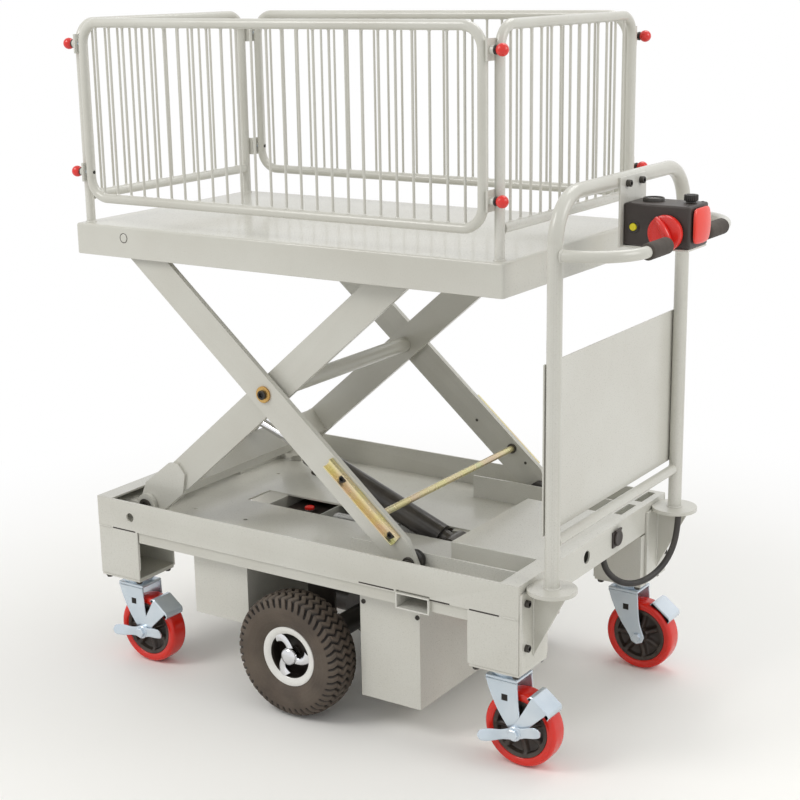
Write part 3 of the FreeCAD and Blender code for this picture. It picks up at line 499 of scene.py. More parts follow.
# Round head with a hexagon socket sunk into it.
def socketBolt(centre, axis, size, height, slot=0):
    outside = lathe([(0, 0), (size, 0), (size, height - 0.8), (size - 0.8, height), (size * 0.6, height)],
                    centre, axis, 30, slot)
    inside = lathe([(size * 0.6, height), (size * 0.55, height - 0.3), (size * 0.5, height * 0.4),
                    (0, height * 0.4)], centre, axis, 30, slot)
    return [outside, inside]


print("shape tools ready")

# Control cable: a NURBS curve through the same route as the solid.
cable = {
    "radius": 6.5,
    "route": [(586, 240, 363), (587, 234, 335), (585, 222, 300), (577, 196, 268), (564, 158, 249),
              (550, 116, 246), (534, 82, 256), (518, 62, 276), (507, 56, 298), (503, 57, 318)],
    "length": 0.305,
}


def makeCable():
    curve = bpy.data.curves.new("controlCable", "CURVE")
    curve.dimensions = "3D"
    curve.bevel_depth = cable["radius"] / 1000
    curve.bevel_resolution = 6
    curve.resolution_u = 16
    curve.use_fill_caps = True
    spline = curve.splines.new("NURBS")
    route = toRow(cable["route"])
    spline.points.add(len(route) - 1)
    spline.points.foreach_set("co", np.hstack([route, np.ones((len(route), 1))]).ravel())
    spline.order_u = 3
    spline.use_endpoint_u = True
    curve.materials.append(finishes["cableJacket"])
    piece = addObject("controlCable", curve)
    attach(piece, "chassis")
    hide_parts("control_cable")
    return piece


cablePiece = makeCable()
print("cable laid")

# Sheet metal: each node's own shape with its folds and cut edges rounded.
foldTable = {
    "side_rails": 1.4, "end_beams": 1.4, "corner_boxes": 1.6, "floor_plates": 1.0, "control_cover": 2.0,
    "equipment_boxes": 0.8, "inner_arms": 1.6, "outer_arms": 1.6, "safety_prop": 0.8,
    "handle_feet": 1.4, "handle_panel": 0.8, "head_bracket": 1.0, "power_pack": 3.0, "battery_pack": 3.0,
    "drive_unit": 2.0,
}
nodeLooks = {
    "battery_pack": "darkPlastic", "power_pack": "bareSteel", "drive_unit": "blackPaint",
    "safety_prop": "yellowZinc", "cylinder_barrel": "blackPaint", "cylinder_rod": "chromeRod",
    "battery_gauge": "darkPlastic", "charge_socket": "darkPlastic", "frame_screws": "blackSteel",
    "centre_bolts": "brassWasher", "lower_rollers": "blackNylon", "upper_rollers": "blackNylon",
    "foam_grips": "gripFoam", "head_housing": "darkPlastic", "throttle_knobs": "redPlastic",
    "horn_button": "yellowPlastic", "selector_knob": "darkPlastic", "e_stop_pad": "stopPlastic",
    "lower_plungers": "redPlastic",
}


def lookOf(node):
    for start, look in (("caster_fork", "zincPlate"), ("caster_brake", "zincPlate"),
                        ("caster_hub", "hubPlastic"), ("caster_tread", "redTread"),
                        ("drive_tyre", "tyreRubber"), ("drive_rim", "rimWhite"), ("plunger", "redPlastic")):
        if node.startswith(start):
            return look
    return nodeLooks.get(node, "greyPaint")


def paintNodes():
    for node, piece in cadNodes.items():
        piece.data.materials.clear()
        piece.data.materials.append(finishes[lookOf(node)])


# A merged copy of the node with its flat faces joined and a small bevel on every sharp edge.
def roundFolds(node, width):
    mesh = cadNodes[node].data.copy()
    mesh.name = node + "Folded"
    work = bmesh.new()
    work.from_mesh(mesh)
    bmesh.ops.remove_doubles(work, verts=work.verts, dist=1e-5)
    bmesh.ops.dissolve_limit(work, angle_limit=math.radians(0.5), verts=work.verts, edges=work.edges)
    work.to_mesh(mesh)
    work.free()
    mesh.shade_smooth()
    piece = addObject(node + "Folded", mesh)
    bevel = piece.modifiers.new("fold", "BEVEL")
    bevel.width = width / 1000
    bevel.segments = 2
    bevel.limit_method = "ANGLE"
    bevel.angle_limit = math.radians(32)
    bevel.use_clamp_overlap = True
    even = piece.modifiers.new("even", "WEIGHTED_NORMAL")
    even.keep_sharp = True
    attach(piece, cadNodes[node]["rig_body"])
    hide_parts(node)


# The deck's sheet and skirts as one fold: a round-cornered rectangle drawn in by an inset at each height.
deck = {"left": -561, "right": 469, "side": 288, "top": 965, "foot": 901, "sheet": 3, "corner": 7, "fold": 5,
        "lugX": -428, "lugZ": 944.06, "bars": (-250, 60)}


def deckRing(inset, height):
    left, right, side = deck["left"] + inset, deck["right"] - inset, deck["side"] - inset
    corners = [(left, -side), (right, -side), (right, side), (left, side)]
    ring = roundCorners(corners, max(deck["corner"] - inset, 1.0), 7)
    return np.hstack([ring, np.full((len(ring), 1), height)])


def makeDeckPan():
    top, foot, sheet, fold = deck["top"], deck["foot"], deck["sheet"], deck["fold"]
    middle = np.repeat([[(deck["left"] + deck["right"]) / 2, 0.0, 0.0]], 28, axis=0)
    bend = np.linspace(0, np.pi / 2, 6)
    rows = [middle + [0, 0, top], deckRing(fold + 6, top)]
    rows += [deckRing(fold * (1 - math.sin(a)), top - fold * (1 - math.cos(a))) for a in bend]
    rows += [deckRing(0, foot + 0.8), deckRing(0.8, foot), deckRing(sheet - 0.8, foot),
             deckRing(sheet, foot + 0.8), deckRing(sheet, top - sheet - 2), deckRing(sheet + 2, top - sheet),
             middle + [0, 0, top - sheet]]
    shells = [(np.array(rows), False, True, 0)]
    for side in (-1, 1):
        low, high = sorted((side * 275, side * 285.2))
        shells.append(roundBlock((deck["lugX"] - 30, low, deck["lugZ"] - 20),
                                 (deck["lugX"] + 30, high, top - sheet), 1))
        place = (deck["lugX"], 0, deck["lugZ"] - 2)
        shells.append(lathe([(0, 261), (9.9, 261), (9.9, 281), (0, 281)], (place[0], 0, deck["lugZ"]),
                            (0, side, 0), 30))
        shells.append(lathe([(8.8, 286), (8.8, 288.4), (10.2, 288.4), (10.2, 286)], place, (0, side, 0), 40,
                            1, wrap=True))
        shells.append(lathe([(0, 286), (8.8, 286), (8.8, 288.2), (8, 288.7), (0, 288.7)],
                            place, (0, side, 0), 40))
    for x in deck["bars"]:
        shells.append(roundBlock((x, -200, top - 12), (x + 40, 200, top - sheet + 0.2), 1))
    pan = makePiece("deckPan", shells, "deck", ["greyPaint", "rimDark"], 32)
    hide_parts("deck_plate")


paintNodes()
makeDeckPan()
for foldNode, foldWidth in foldTable.items():
    roundFolds(foldNode, foldWidth)
print("sheet metal folded")

# Drive wheels: block tread, ribbed sidewall, white ring and a bright three-spoke cap.
driveWheel = {"radius": 130, "middle": 308, "lugs": 46, "grooveDepth": 5.5, "waves": 3.5, "lean": 0.55}


# Radius and offset follow a rounded section; the crown sinks where a leaning zigzag wave falls in a groove.
def tyreGrid(side):
    half = np.array([(62, 27), (68, 32), (78, 37), (90, 40.5), (102, 42), (112, 41), (119, 37.5), (124.5, 31),
                     (128, 22), (129.6, 11), (130, 0)], float)
    section = smoothLine(np.vstack([half, half[-2::-1] * [1, -1]]), 110)
    section[:, 0] = np.minimum(section[:, 0], driveWheel["radius"])
    section[:, 1] = np.clip(section[:, 1], -42, 42)
    angle = np.linspace(0, 2 * np.pi, driveWheel["lugs"] * 10, endpoint=False)[None]
    radius, offset = section[:, :1], section[:, 1:]
    wave = np.abs(((offset / 42 * driveWheel["waves"]) + 0.5) % 2 - 1)
    phase = (driveWheel["lugs"] * angle / (2 * np.pi) + driveWheel["lean"] * wave) % 1
    cut = 1 / (1 + np.exp(-(0.17 - np.abs(phase - 0.5)) * 60))
    seam = np.exp(-((wave - 0.5) ** 2 - 0.25) ** 2 * 900) * 0.35
    crown = 1 / (1 + np.exp(-(radius - 110) * 0.9))
    depth = np.clip(cut + seam, 0, 1) * crown
    ribs = 0.5 * np.exp(-((radius - 72) / 0.8) ** 2) + 0.7 * np.exp(-((radius - 103) / 0.9) ** 2)
    ribs = ribs + 0.6 * np.exp(-((radius - 80) / 0.7) ** 2) + 0.5 * np.exp(-((radius - 88) / 0.7) ** 2)
    ribs = ribs + 0.5 * np.exp(-((radius - 96) / 0.7) ** 2)
    sunk = radius - depth * driveWheel["grooveDepth"]
    flank = offset + np.sign(offset) * np.minimum(ribs * (radius < 108), 42 - np.abs(offset))
    flank = flank - np.sign(offset) * depth * 2.0 * (np.abs(offset) > 30)
    middle = side * driveWheel["middle"]
    grid = np.stack([sunk * np.cos(angle), middle + side * flank + 0 * angle,
                     driveWheel["radius"] + sunk * np.sin(angle)], axis=-1)
    inside = lathe([(62, -27), (60, -26), (60, 26), (62, 27)], (0, middle, 130), "y", 460)[0]
    inside[..., 1] = middle + side * (inside[..., 1] - middle)
    return np.vstack([grid, inside[[0, 1, 2, 3]]]), np.concatenate([depth, np.zeros((4, angle.size))])


def makeDriveWheel(name, side):
    grid, depth = tyreGrid(side)
    body = "drive_wheel_" + name
    # The groove depth also goes to the tyre as the mask that paints shade into its grooves.
    tyre = makePiece("tyre_" + name, [(grid, True, True, 0)], body, ["tyreRubber"], 50, depth)
    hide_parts("drive_tyre_" + name)
    centre = (0, side * driveWheel["middle"], driveWheel["radius"])
    out = (0, side, 0)
    shells = [
        lathe([(59.5, -27), (62, -28), (62.5, -26), (61.8, 22), (63.5, 26.5), (63, 29.5), (60, 30.5),
               (51, 28.5), (47.5, 25)], centre, out, 72, 0),
        lathe([(47.5, 25), (47, 18), (56, 10), (56, -20), (59.5, -27)], centre, out, 72, 1),
        lathe([(12.2, -16), (56, -16), (56, -11), (40, -8), (20, 2), (12.2, 2)], centre, out, 60, 1, wrap=True),
        lathe([(0, 12), (9, 12), (18, 13), (19.5, 17), (19, 26), (17.5, 31), (14, 34.4), (6, 36), (0, 36)],
              centre, out, 48, 2),
        lathe([(0, -30), (20, -30), (20, -16), (13, -16), (13, 0), (0, 0)], centre, out, 40, 1),
    ]
    start = np.linspace(0, 1, 24)
    for spoke in range(3):
        turn = np.radians(90 + 120 * spoke) + 0.75 * start ** 1.4
        reach = 10 + 38.5 * start
        path = np.stack([reach * np.cos(turn), side * (driveWheel["middle"] + 24 - 3 * start),
                         130 + reach * np.sin(turn)], -1)
        wide = 10.5 - 5.0 * np.sin(np.pi * start ** 0.8) * 0.6 + 3.5 * start ** 5
        shells.append(sweep(path, wide, 4.2 + 1.2 * start, upward=out, steps=18, slot=2))
    rim = makePiece("rim_" + name, shells, body, ["rimWhite", "rimDark", "chromeRod"], 35)
    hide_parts("drive_rim_" + name)


for wheelName, wheelSide in sides.items():
    makeDriveWheel(wheelName, wheelSide)
print("drive wheels made")

# Swivel casters: bearing head, two legs, spoked hub, glossy tread and the two-winged brake.
caster = {"x": 466, "side": 262, "trail": 36, "radius": 76.2, "hub": 58, "plateFoot": 199}


def legOutline(x, axleX, axleZ):
    right = smoothLine([(x + 36, 173), (x + 38, 140), (x + 42, 108), (axleX + 17, axleZ)], 12)
    foot = [(axleX + 12, axleZ - 12), (axleX, axleZ - 17), (axleX - 12, axleZ - 12)]
    left = smoothLine([(axleX - 17, axleZ), (x - 6, 112), (x - 24, 148), (x - 32, 173)], 12)
    return np.vstack([right, foot, left])


# Half thickness by radius and angle: a deep boss and rim, a thin web and seven raised spokes between them.
def hubGrid(centre):
    radius = np.array([6.1, 17, 18.5, 21, 28, 36, 44, 48, 50, 57.2, 58])[:, None]
    angle = np.linspace(0, 2 * np.pi, 168, endpoint=False)[None]
    spoke = np.exp(-((np.abs((angle * 7 / (2 * np.pi)) % 1 - 0.5) * 2 * np.pi * radius / 14) / 3.0) ** 4)
    boss = 1 / (1 + np.exp((radius - 19.5) * 1.6))
    edge = 1 / (1 + np.exp(-(radius - 49) * 1.6))
    thick = 6 + 13.5 * np.clip(boss + edge + spoke * 0.72, 0, 1) - 0.8 * (radius > 57.5)
    front = np.stack([centre[0] + radius * np.cos(angle), centre[1] + thick,
                      centre[2] + radius * np.sin(angle)], -1)
    back = np.stack([centre[0] + radius * np.cos(angle), centre[1] - thick,
                     centre[2] + radius * np.sin(angle)], -1)
    return np.vstack([front, back[::-1]])


# A flat strip whose half width narrows at the tips and which twists and curls outwards towards both ends.
def wingGrid(axleX, y, axleZ, side, tilt):
    along = np.linspace(-82, 58, 51)
    share = np.abs(along) / np.where(along < 0, 82.0, 58.0)
    wide = 12 * np.clip(1 - share ** 14, 0.02, 1) ** 0.5 * (1 - 0.18 * np.exp(-((share - 0.35) / 0.2) ** 2))
    curl = 5.5 * np.clip(share - 0.5, 0, 1) ** 1.2
    twist = np.radians(15) * np.clip((share - 0.3) / 0.5, 0, 1) * np.sign(along)
    angle = np.linspace(0, 2 * np.pi, 20, endpoint=False)
    u = np.sign(np.cos(angle)) * np.abs(np.cos(angle)) ** 0.5
    v = np.sign(np.sin(angle)) * np.abs(np.sin(angle)) ** 0.5
    flat = wide[:, None] * u[None]
    thick = 1.8 * v[None] + 0 * flat
    z = flat * np.cos(twist)[:, None] - thick * np.sin(twist)[:, None]
    off = flat * np.sin(twist)[:, None] + thick * np.cos(twist)[:, None]
    tip = np.radians(tilt)
    grid = np.stack([axleX + along[:, None] * np.cos(tip) - z * np.sin(tip),
                     y + side * (40 + curl[:, None] + off),
                     axleZ + along[:, None] * np.sin(tip) + z * np.cos(tip)], -1)
    caps = np.repeat(grid[[0, -1]].mean(axis=1, keepdims=True), 20, axis=1)
    return np.vstack([caps[:1], grid, caps[1:]]), False, True, 0


# A point from its distances along the brake's slope and across it.
def centreOffset(centre, slope, tangent, along, across):
    return (centre[0] + along * slope[0] + across * tangent[0],
            centre[2] + along * slope[1] + across * tangent[1])


def makeCaster(endName, end, sideName, side):
    corner = f"{endName}_{sideName}"
    x, y = end * caster["x"], side * caster["side"]
    axleX, axleZ = x + caster["trail"], caster["radius"]
    centre = (axleX, y, axleZ)
    top = caster["plateFoot"]
    head = (x, y, top)
    shells = [
        lathe([(0, 0), (33, 0), (34, -1), (34, -3), (31, -5), (31, -7.5), (33.5, -8.5), (34.5, -11),
               (33.5, -14), (30, -16), (27, -18), (27, -21), (0, -21)], head, "z", 60),
        roundBlock((x - 33, y - 31, top - 25.5), (x + 37, y + 31, top - 19.5), 2.6),
        lathe([(0, -33), (9, -33), (10.4, -31.5), (10.4, -26), (0, -26)], head, "z", 36, 0, hexSize),
    ]
    for leg in (-1, 1):
        low, high = sorted((y + leg * 27, y + leg * 31))
        shells.append(slab(legOutline(x, axleX, axleZ), low, high, 1.0))
        bend = [(x - 31, y + leg * 27.6, top - 23), (x + 35, y + leg * 27.6, top - 23)]
        shells.append(sweep(smoothLine(bend, 12), 3.6, 3.6, steps=12))
        outside = y + leg * 31
        # A dark square on each leg's outer face: painted shade standing for the lever stop window.
        shells.append(roundBlock((x + 3, outside - 0.6, 134), (x + 16, outside + 0.6, 147), 0.55, 1))
    shells.append(lathe([(0, -33), (5.9, -33), (5.9, 33), (0, 33)], centre, "y", 24))
    shells.append(lathe([(0, 31), (9.5, 31), (9.5, 36), (8.6, 37.5), (0, 37.5)], centre, (0, -side, 0), 36, 0,
                        hexSize))
    fork = makePiece("fork_" + corner, shells, "caster_" + corner, ["zincPlate", "blackSteel"], 32)
    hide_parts("caster_fork_" + corner)
    turn = np.radians(52)
    slope = np.array([np.cos(turn), np.sin(turn)])
    tangent = np.array([-np.sin(turn), np.cos(turn)])
    inner, outer = caster["radius"] + 2.6, caster["radius"] + 9
    armShape = [centreOffset(centre, slope, tangent, *pair) for pair in
                ((8, 13), (30, 14), (58, 18), (outer - 1, 23),
                 (outer - 1, -20), (60, -16), (30, -12), (8, -13))]
    armShape = roundCorners(armShape, 5)
    low, high = sorted((y + side * 32.2, y + side * 36))
    shoeShape = roundCorners([centreOffset(centre, slope, tangent, *pair) for pair in
                              ((inner - 6, 27), (inner + 0.6, 24), (inner + 0.6, -24), (inner - 7, -28),
                               (inner + 1, -27), (outer, -21), (outer, 20), (inner + 2, 26.5))], 1.6)
    shoeLow, shoeHigh = sorted((y - side * 19, y + side * 35.6))
    out = (0, side, 0)
    brake = [
        wingGrid(axleX, y, axleZ, side, 16 if end > 0 else 7),
        lathe([(6.1, 32), (13, 32), (14.5, 33), (14.5, 42.5), (13, 44), (6.1, 44)],
              centre, out, 40, 0, wrap=True),
        slab(armShape, low, high, 0.9),
        slab(shoeShape, shoeLow, shoeHigh, 1.2),
        lathe([(0, 44.2), (11, 44.2), (11, 48.5), (9.8, 49.6), (0, 49.6)], centre, out, 36, 0, hexSize),
        lathe([(0, 43.6), (13.4, 43.6), (13.4, 44.6), (0, 44.6)], centre, out, 32),
    ]
    lever = makePiece("brake_" + corner, brake, "brake_" + corner, ["zincPlate"], 32)
    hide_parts("caster_brake_" + corner)
    wheelBody = "wheel_" + corner
    hub = makePiece("hub_" + corner, [(hubGrid(centre), True, True, 0)], wheelBody,
                    ["hubPlastic"], 42)
    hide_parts("caster_hub_" + corner)
    rim = caster["hub"]
    section = smoothLine([(rim, -18.5), (rim + 2, -20.6), (66, -22), (71.5, -21), (75.2, -16.5), (76.1, -9),
                          (76.2, 0), (76.1, 9), (75.2, 16.5), (71.5, 21), (66, 22), (rim + 2, 20.6),
                          (rim, 18.5)], 54)
    section[:, 0] = np.minimum(section[:, 0], caster["radius"])
    section[:, 1] = np.clip(section[:, 1], -22, 22)
    tread = makePiece("tread_" + corner, [lathe(section, centre, "y", 120, wrap=True)], wheelBody,
                      ["redTread"], 60)
    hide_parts("caster_tread_" + corner)


for endName, end in ends.items():
    for sideName, side in sides.items():
        makeCaster(endName, end, sideName, side)
print("casters made")

# Control head: housing, throttle, stop pad, selector, dial and horn.
control = {"back": 581, "front": 712, "half": 42, "foot": 971, "top": 1049, "throttle": (668, 1000),
           "horn": (602, 1006), "dial": (620, 4), "selector": (690, 12), "padFront": 725, "padBack": 715.4,
           "padHalf": (34, 32), "padZ": 1012}


def makeHead():
    half, foot, top = control["half"], control["foot"], control["top"]
    back, front = control["back"], control["front"]
    shells = [roundBlock((back, -half, foot + 0.2), (front, half, top), 4.5, 0, 7),
              roundBlock((back + 10, -half - 0.5, foot + 0.3), (front - 6, half + 0.5, foot + 3.4), 1.2, 0)]
    horn = (control["horn"][0], -half, control["horn"][1])
    throttleX, throttleZ = control["throttle"]
    shells.append(lathe([(7.2, -1), (11.5, -1), (11.5, 1.2), (10.5, 2.6), (8.2, 2.6), (7.2, 1.4)], horn,
                        (0, -1, 0), 40, 1, wrap=True))
    for px, py in ((590, -33), (590, 33), (704, -33), (704, 33)):
        shells += socketBolt((px, py, top - 0.6), "z", 3.2, 1.6, 1)
    for side in (-1, 1):
        shells.append(lathe([(7.2, -1), (17, -1), (17, 1.6), (14, 2.8), (7.2, 2.8)],
                            (throttleX, side * half, throttleZ), (0, side, 0), 48, 1, wrap=True))
    housing = makePiece("headHousing", shells, "chassis", ["darkPlastic", "blackNylon"], 34)
    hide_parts("head_housing")
    dialCentre = (*control["dial"], top)
    dial = makePiece("batteryDial", [
        lathe([(0, 0), (20, 0), (20, 4.5), (19, 6.6), (17, 7), (16.2, 6), (16, 4.6), (0, 4.6)],
              dialCentre, "z", 60, 0),
        lathe([(0, 4.7), (15.8, 4.7), (14, 5.4), (0, 5.8)], dialCentre, "z", 48, 1),
    ], "chassis", ["blackNylon", "dialFace"], 30)
    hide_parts("battery_gauge")


# Two domed discs on one shaft, each crossed by a curved grip that stands out from its face.
def makeThrottle():
    x, z = control["throttle"]
    shells = [lathe([(0, -46), (6.9, -46), (6.9, 46), (0, 46)], (x, 0, z), "y", 32)]
    t = np.linspace(0, 1, 36)
    for face in (-1, 1):
        start = control["half"] + 3
        shells.append(lathe([(0, 0), (31, 0), (33, 1.4), (33, 8), (32, 10.6), (28, 12.4), (20, 13),
                             (0, 13.4)], (x, face * start, z), (0, face, 0), 84))
        lean = np.radians(-62)
        along = (t - 0.5) * 62
        bow = 7.5 * np.sin(np.pi * t)
        path = np.stack([x + along * np.cos(lean) + bow * np.sin(-lean) * 0.9,
                         face * (start + 13.5 + 5.5 * np.sin(np.pi * t) ** 0.7),
                         z + along * np.sin(lean) + bow * np.cos(lean) * 0.9], axis=-1)
        wide = 7.8 * np.clip(np.sin(np.pi * (0.06 + 0.88 * t)), 0.25, 1) ** 0.45
        tall = 3.5 + 5.5 * np.sin(np.pi * t) ** 0.6
        shells.append(sweep(path, wide, tall, upward=(0, face, 0), steps=20))
    knobs = makePiece("throttleKnobs", shells, "throttle", ["redPlastic"], 32)
    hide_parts("throttle_knobs")


# The pad as a grid over its width and height, its front drawn back by the square of the distance from the
# middle.
def padSurface():
    halfY, halfZ = control["padHalf"]
    u = np.linspace(-1, 1, 30)
    shape = np.sign(u) * np.abs(u) ** 0.8
    y, z = np.meshgrid(shape * halfY, shape * halfZ, indexing="ij")
    corner = (np.abs(y) / halfY) ** 6 + (np.abs(z) / halfZ) ** 6
    shrink = np.where(corner > 1, corner ** (-1 / 6), 1)
    y, z = y * shrink, z * shrink
    drop = 4.0 * (y / halfY) ** 2, 3.6 * (z / halfZ) ** 2, 1.2 * np.clip(corner, 0, 1) ** 6
    grid = np.stack([control["padFront"] - drop[0] - drop[1] - drop[2], y, control["padZ"] + z], axis=-1)
    rim = np.concatenate([grid[0], grid[1:, -1], grid[-1, -2::-1], grid[-2:0:-1, 0]])
    back = rim.copy()
    back[:, 0] = control["padBack"]
    middle = np.repeat(np.array([[control["padBack"], 0, control["padZ"]]]), len(rim), axis=0)
    return [(grid, False, False, 0), (np.array([rim, (rim + back) / 2, back, middle]), False, True, 0)]


# Radius taken off between 22 ridges, by the size of a cosine, outside the knob's shaft.
def knurl(profile, angle):
    outside = profile[:, :1] > 6
    return 0.7 * np.abs(np.cos(angle * 11))[None] * outside - 0.7 * outside


def makeButtons():
    pad = makePiece("stopPad", padSurface() + [roundBlock((707, -11, 1001), (716, 11, 1023), 1)], "e_stop",
                    ["stopPlastic"], 40)
    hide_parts("e_stop_pad")
    hornCentre = (control["horn"][0], -control["half"], control["horn"][1])
    horn = makePiece("hornButton", [
        lathe([(0, -8), (6.9, -8), (6.9, 3.4), (6.2, 4.6), (4, 5), (0, 5)], hornCentre, (0, -1, 0), 40),
    ], "horn_button", ["yellowPlastic"], 40)
    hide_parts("horn_button")
    top = control["top"]
    centre = (*control["selector"], top)
    knob = makePiece("selectorKnob", [
        lathe([(0, -16), (4.9, -16), (4.9, 1), (0, 1)], centre, "z", 24),
        lathe([(0, 1), (10, 1), (9, 4.5), (0, 4.5)], centre, "z", 66),
        lathe([(0, 4), (12.6, 4), (13.2, 4.8), (13.2, 14), (12.2, 15), (0, 15)], centre, "z", 132, 0, knurl),
        roundBlock((681.5, 9.8, top + 12), (698.5, 14.2, top + 16), 1.4)],
        "selector_knob", ["blackNylon"], 34)
    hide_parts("selector_knob")


# Foam sleeves on the handle's tube, which bends about a centre beside each hand.
grip = {"centreX": 578, "centreY": 162, "z": 985, "bend": 110, "start": 8, "inner": 84, "radius": 15.4,
        "end": 5}


# The sleeve's radius rises over its first millimetres as a quarter circle.
def makeGrips():
    shells = []
    bendRadius = grip["bend"]
    for hand in (-1, 1):
        turn = np.linspace(np.arcsin(grip["start"] / bendRadius), 0, 8)[:-1]
        bend = np.stack([grip["centreX"] + bendRadius * np.cos(turn),
                         hand * (grip["centreY"] + bendRadius * np.sin(turn)),
                         np.full_like(turn, grip["z"])], -1)
        side = np.linspace(grip["centreY"], grip["inner"], 30)
        straight = np.stack([np.full_like(side, grip["centreX"] + bendRadius), hand * side,
                             np.full_like(side, grip["z"])], -1)
        path = np.vstack([bend, straight])
        run = np.concatenate([[0], np.cumsum(np.linalg.norm(np.diff(path, axis=0), axis=1))])
        edge = np.minimum(run, run[-1] - run)
        radius = grip["radius"] * np.sqrt(1 - np.clip(1 - edge / grip["end"], 0, 0.75) ** 2)
        radius = radius * (1 + 0.006 * np.sin(run * 0.35))
        shells.append(sweep(path, radius, steps=28))
    grips = makePiece("foamGrips", shells, "chassis", ["gripFoam"], 60)
    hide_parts("foam_grips")


makeHead()
makeThrottle()
makeButtons()
makeGrips()
print("control head made")

# Gate plungers: steel pin, black neck and red ball.
plunger = {"left": -510, "right": 426, "side": 285, "upper": 1332, "lower": 1073, "ball": 11.5, "reach": 39}


def plungerShells(end, side, z, tip):
    gate = plunger["left"] if end < 0 else plunger["right"]
    centre, out = (gate, side * plunger["side"], z), (end, 0, 0)
    turn = np.linspace(0, np.pi, 22)
    ball = np.stack([plunger["ball"] * np.sin(turn), plunger["reach"] - plunger["ball"] * np.cos(turn)], -1)
    return [lathe([(0, tip), (3.2, tip), (4, tip + 1.2), (4, 30), (0, 30)], centre, out, 20, 0),
            lathe([(0, 24.5), (8, 24.5), (8.4, 25.5), (8.4, 27.5), (6.4, 29), (6, 31.5), (0, 31.5)],
                  centre, out, 28, 1),
            lathe(ball, centre, out, 36, 2)]


lowerShells = []
for endName, end in ends.items():
    for sideName, side in sides.items():
        upper = makePiece(f"ballPlunger_{endName}_{sideName}", plungerShells(end, side, plunger["upper"], 11),
                          f"plunger_{endName}_{sideName}",
                          ["zincPlate", "blackNylon", "redPlastic"])
        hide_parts(f"plunger_{endName}_{sideName}")
        lowerShells += plungerShells(end, side, plunger["lower"], 2)
lowerPins = makePiece("ballPlungersLower", lowerShells, "deck",
                      ["zincPlate", "blackNylon", "redPlastic"])
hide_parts("lower_plungers")
print("plungers made")

# Bolts, washers, rollers and small fittings.
linkage = {"foot": (-428, 359), "centre": (-87.9, 651.53), "roller": 252.2, "angle": 40.7}


def onArm(pivot, angle, along, across):
    turn = math.radians(angle)
    return (pivot[0] + along * math.cos(turn) - across * math.sin(turn),
            pivot[1] + along * math.sin(turn) + across * math.cos(turn))


def makeFrameBolts():
    shells = []
    for side in (-1, 1):
        footX, footZ = linkage["foot"]
        shells.append(lathe([(0, 235), (11.9, 235), (11.9, 270), (11, 271), (0, 271)], (footX, 0, footZ),
                            (0, side, 0), 36))
        shells.append(lathe([(8, 271), (14.5, 271), (14.5, 273), (8, 273)], (footX, 0, footZ), (0, side, 0),
                            36, wrap=True))
        for z in (255, 343):
            shells += socketBolt((526, side * 302, z), "x", 7, 8)
        for x, z in ((155, 266), (281, 258)):
            shells.append(lathe([(0, 0), (5, 0), (4.6, 2), (2.5, 3.6), (0, 4)], (x, side * 290, z),
                                (0, side, 0), 24))
        for end in (-1, 1):
            for dx in (-43, 43):
                for dy in (-46, 46):
                    place = (end * caster["x"] + dx, side * caster["side"] + dy, 199)
                    shells += hexBolt(place, (0, 0, -1), 6.8, 5, 0, 8.5)
    shells.append(lathe([(0, -41), (10, -41), (10, 41), (0, 41)], (190, 0, 300), "y", 30))
    for y in (-28, 28):
        shells += socketBolt((581, y, 1083), "x", 6.5, 9)
    bolts = makePiece("frameBolts", shells, "chassis", ["blackSteel"], 32)
    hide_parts("frame_screws")


def makeLinkageFittings():
    centreX, centreZ = linkage["centre"]
    shells, rollers = [], []
    for side in (-1, 1):
        out = (0, side, 0)
        centre = (centreX, 0, centreZ)
        shells.append(lathe([(0, 239), (9.9, 239), (9.9, 274), (0, 274)], centre, out, 30, 1))
        shells.append(lathe([(10, 250.6), (16, 250.6), (16, 261.9), (10, 261.9)], centre, out, 36, 1,
                            wrap=True))
        shells.append(lathe([(9, 274), (16.6, 274), (17, 275), (17, 277.5), (15.8, 279), (9, 279)], centre,
                            out, 48, 0, wrap=True))
        shells += socketBolt((centreX, side * 278.6, centreZ), out, 9.6, 5.4, 2)
        rollers.append(lathe([(8.1, 242.5), (18.5, 242.5), (20, 244), (20, 249), (19.2, 251.5), (20, 254),
                              (20, 259), (18.5, 260.5), (8.1, 260.5)],
                             (linkage["roller"], 0, linkage["foot"][1]), out, 60, 0, wrap=True))
    bolts = makePiece("centreBolts", shells, "outer_arms",
                      ["brassWasher", "bareSteel", "blackSteel"], 32)
    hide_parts("centre_bolts")
    wheels = makePiece("lowerRollers", rollers, "lower_rollers", ["blackNylon"], 32)
    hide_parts("lower_rollers")
    tieX, tieZ = onArm(linkage["centre"], -linkage["angle"], 339, 14)
    small = []
    for side in (-1, 1):
        out = (0, side, 0)
        small.append(lathe([(8, 274), (13, 274), (13, 278), (12, 279), (8, 279)], (linkage["roller"], 0, 359),
                           out, 40, wrap=True))
        small += socketBolt((linkage["roller"], side * 275, 359), out, 8.4, 5.5)
        small.append(lathe([(7.2, 258.5), (11, 258.5), (11, 261.9), (7.2, 261.9)], (tieX, 0, tieZ), out, 32,
                           wrap=True))
        for holeX, holeZ in ((88.2, 493.6), (212, 412.7)):
            small.append(lathe([(0, 261.5), (3.4, 261.5), (2.8, 261.95), (0, 261.95)],
                               (holeX, 0, holeZ), out, 20))
    makePiece("armFittings", small, "outer_arms", ["blackSteel"], 32)
    channel = []
    for side in (-1, 1):
        for along in (240, 386):
            x, z = onArm(linkage["centre"], -linkage["angle"], along, 16)
            channel += socketBolt((x, side * 277.5, z), (0, side, 0), 7.5, 6)
    makePiece("propBolts", channel, "safety_prop", ["blackSteel"], 32)


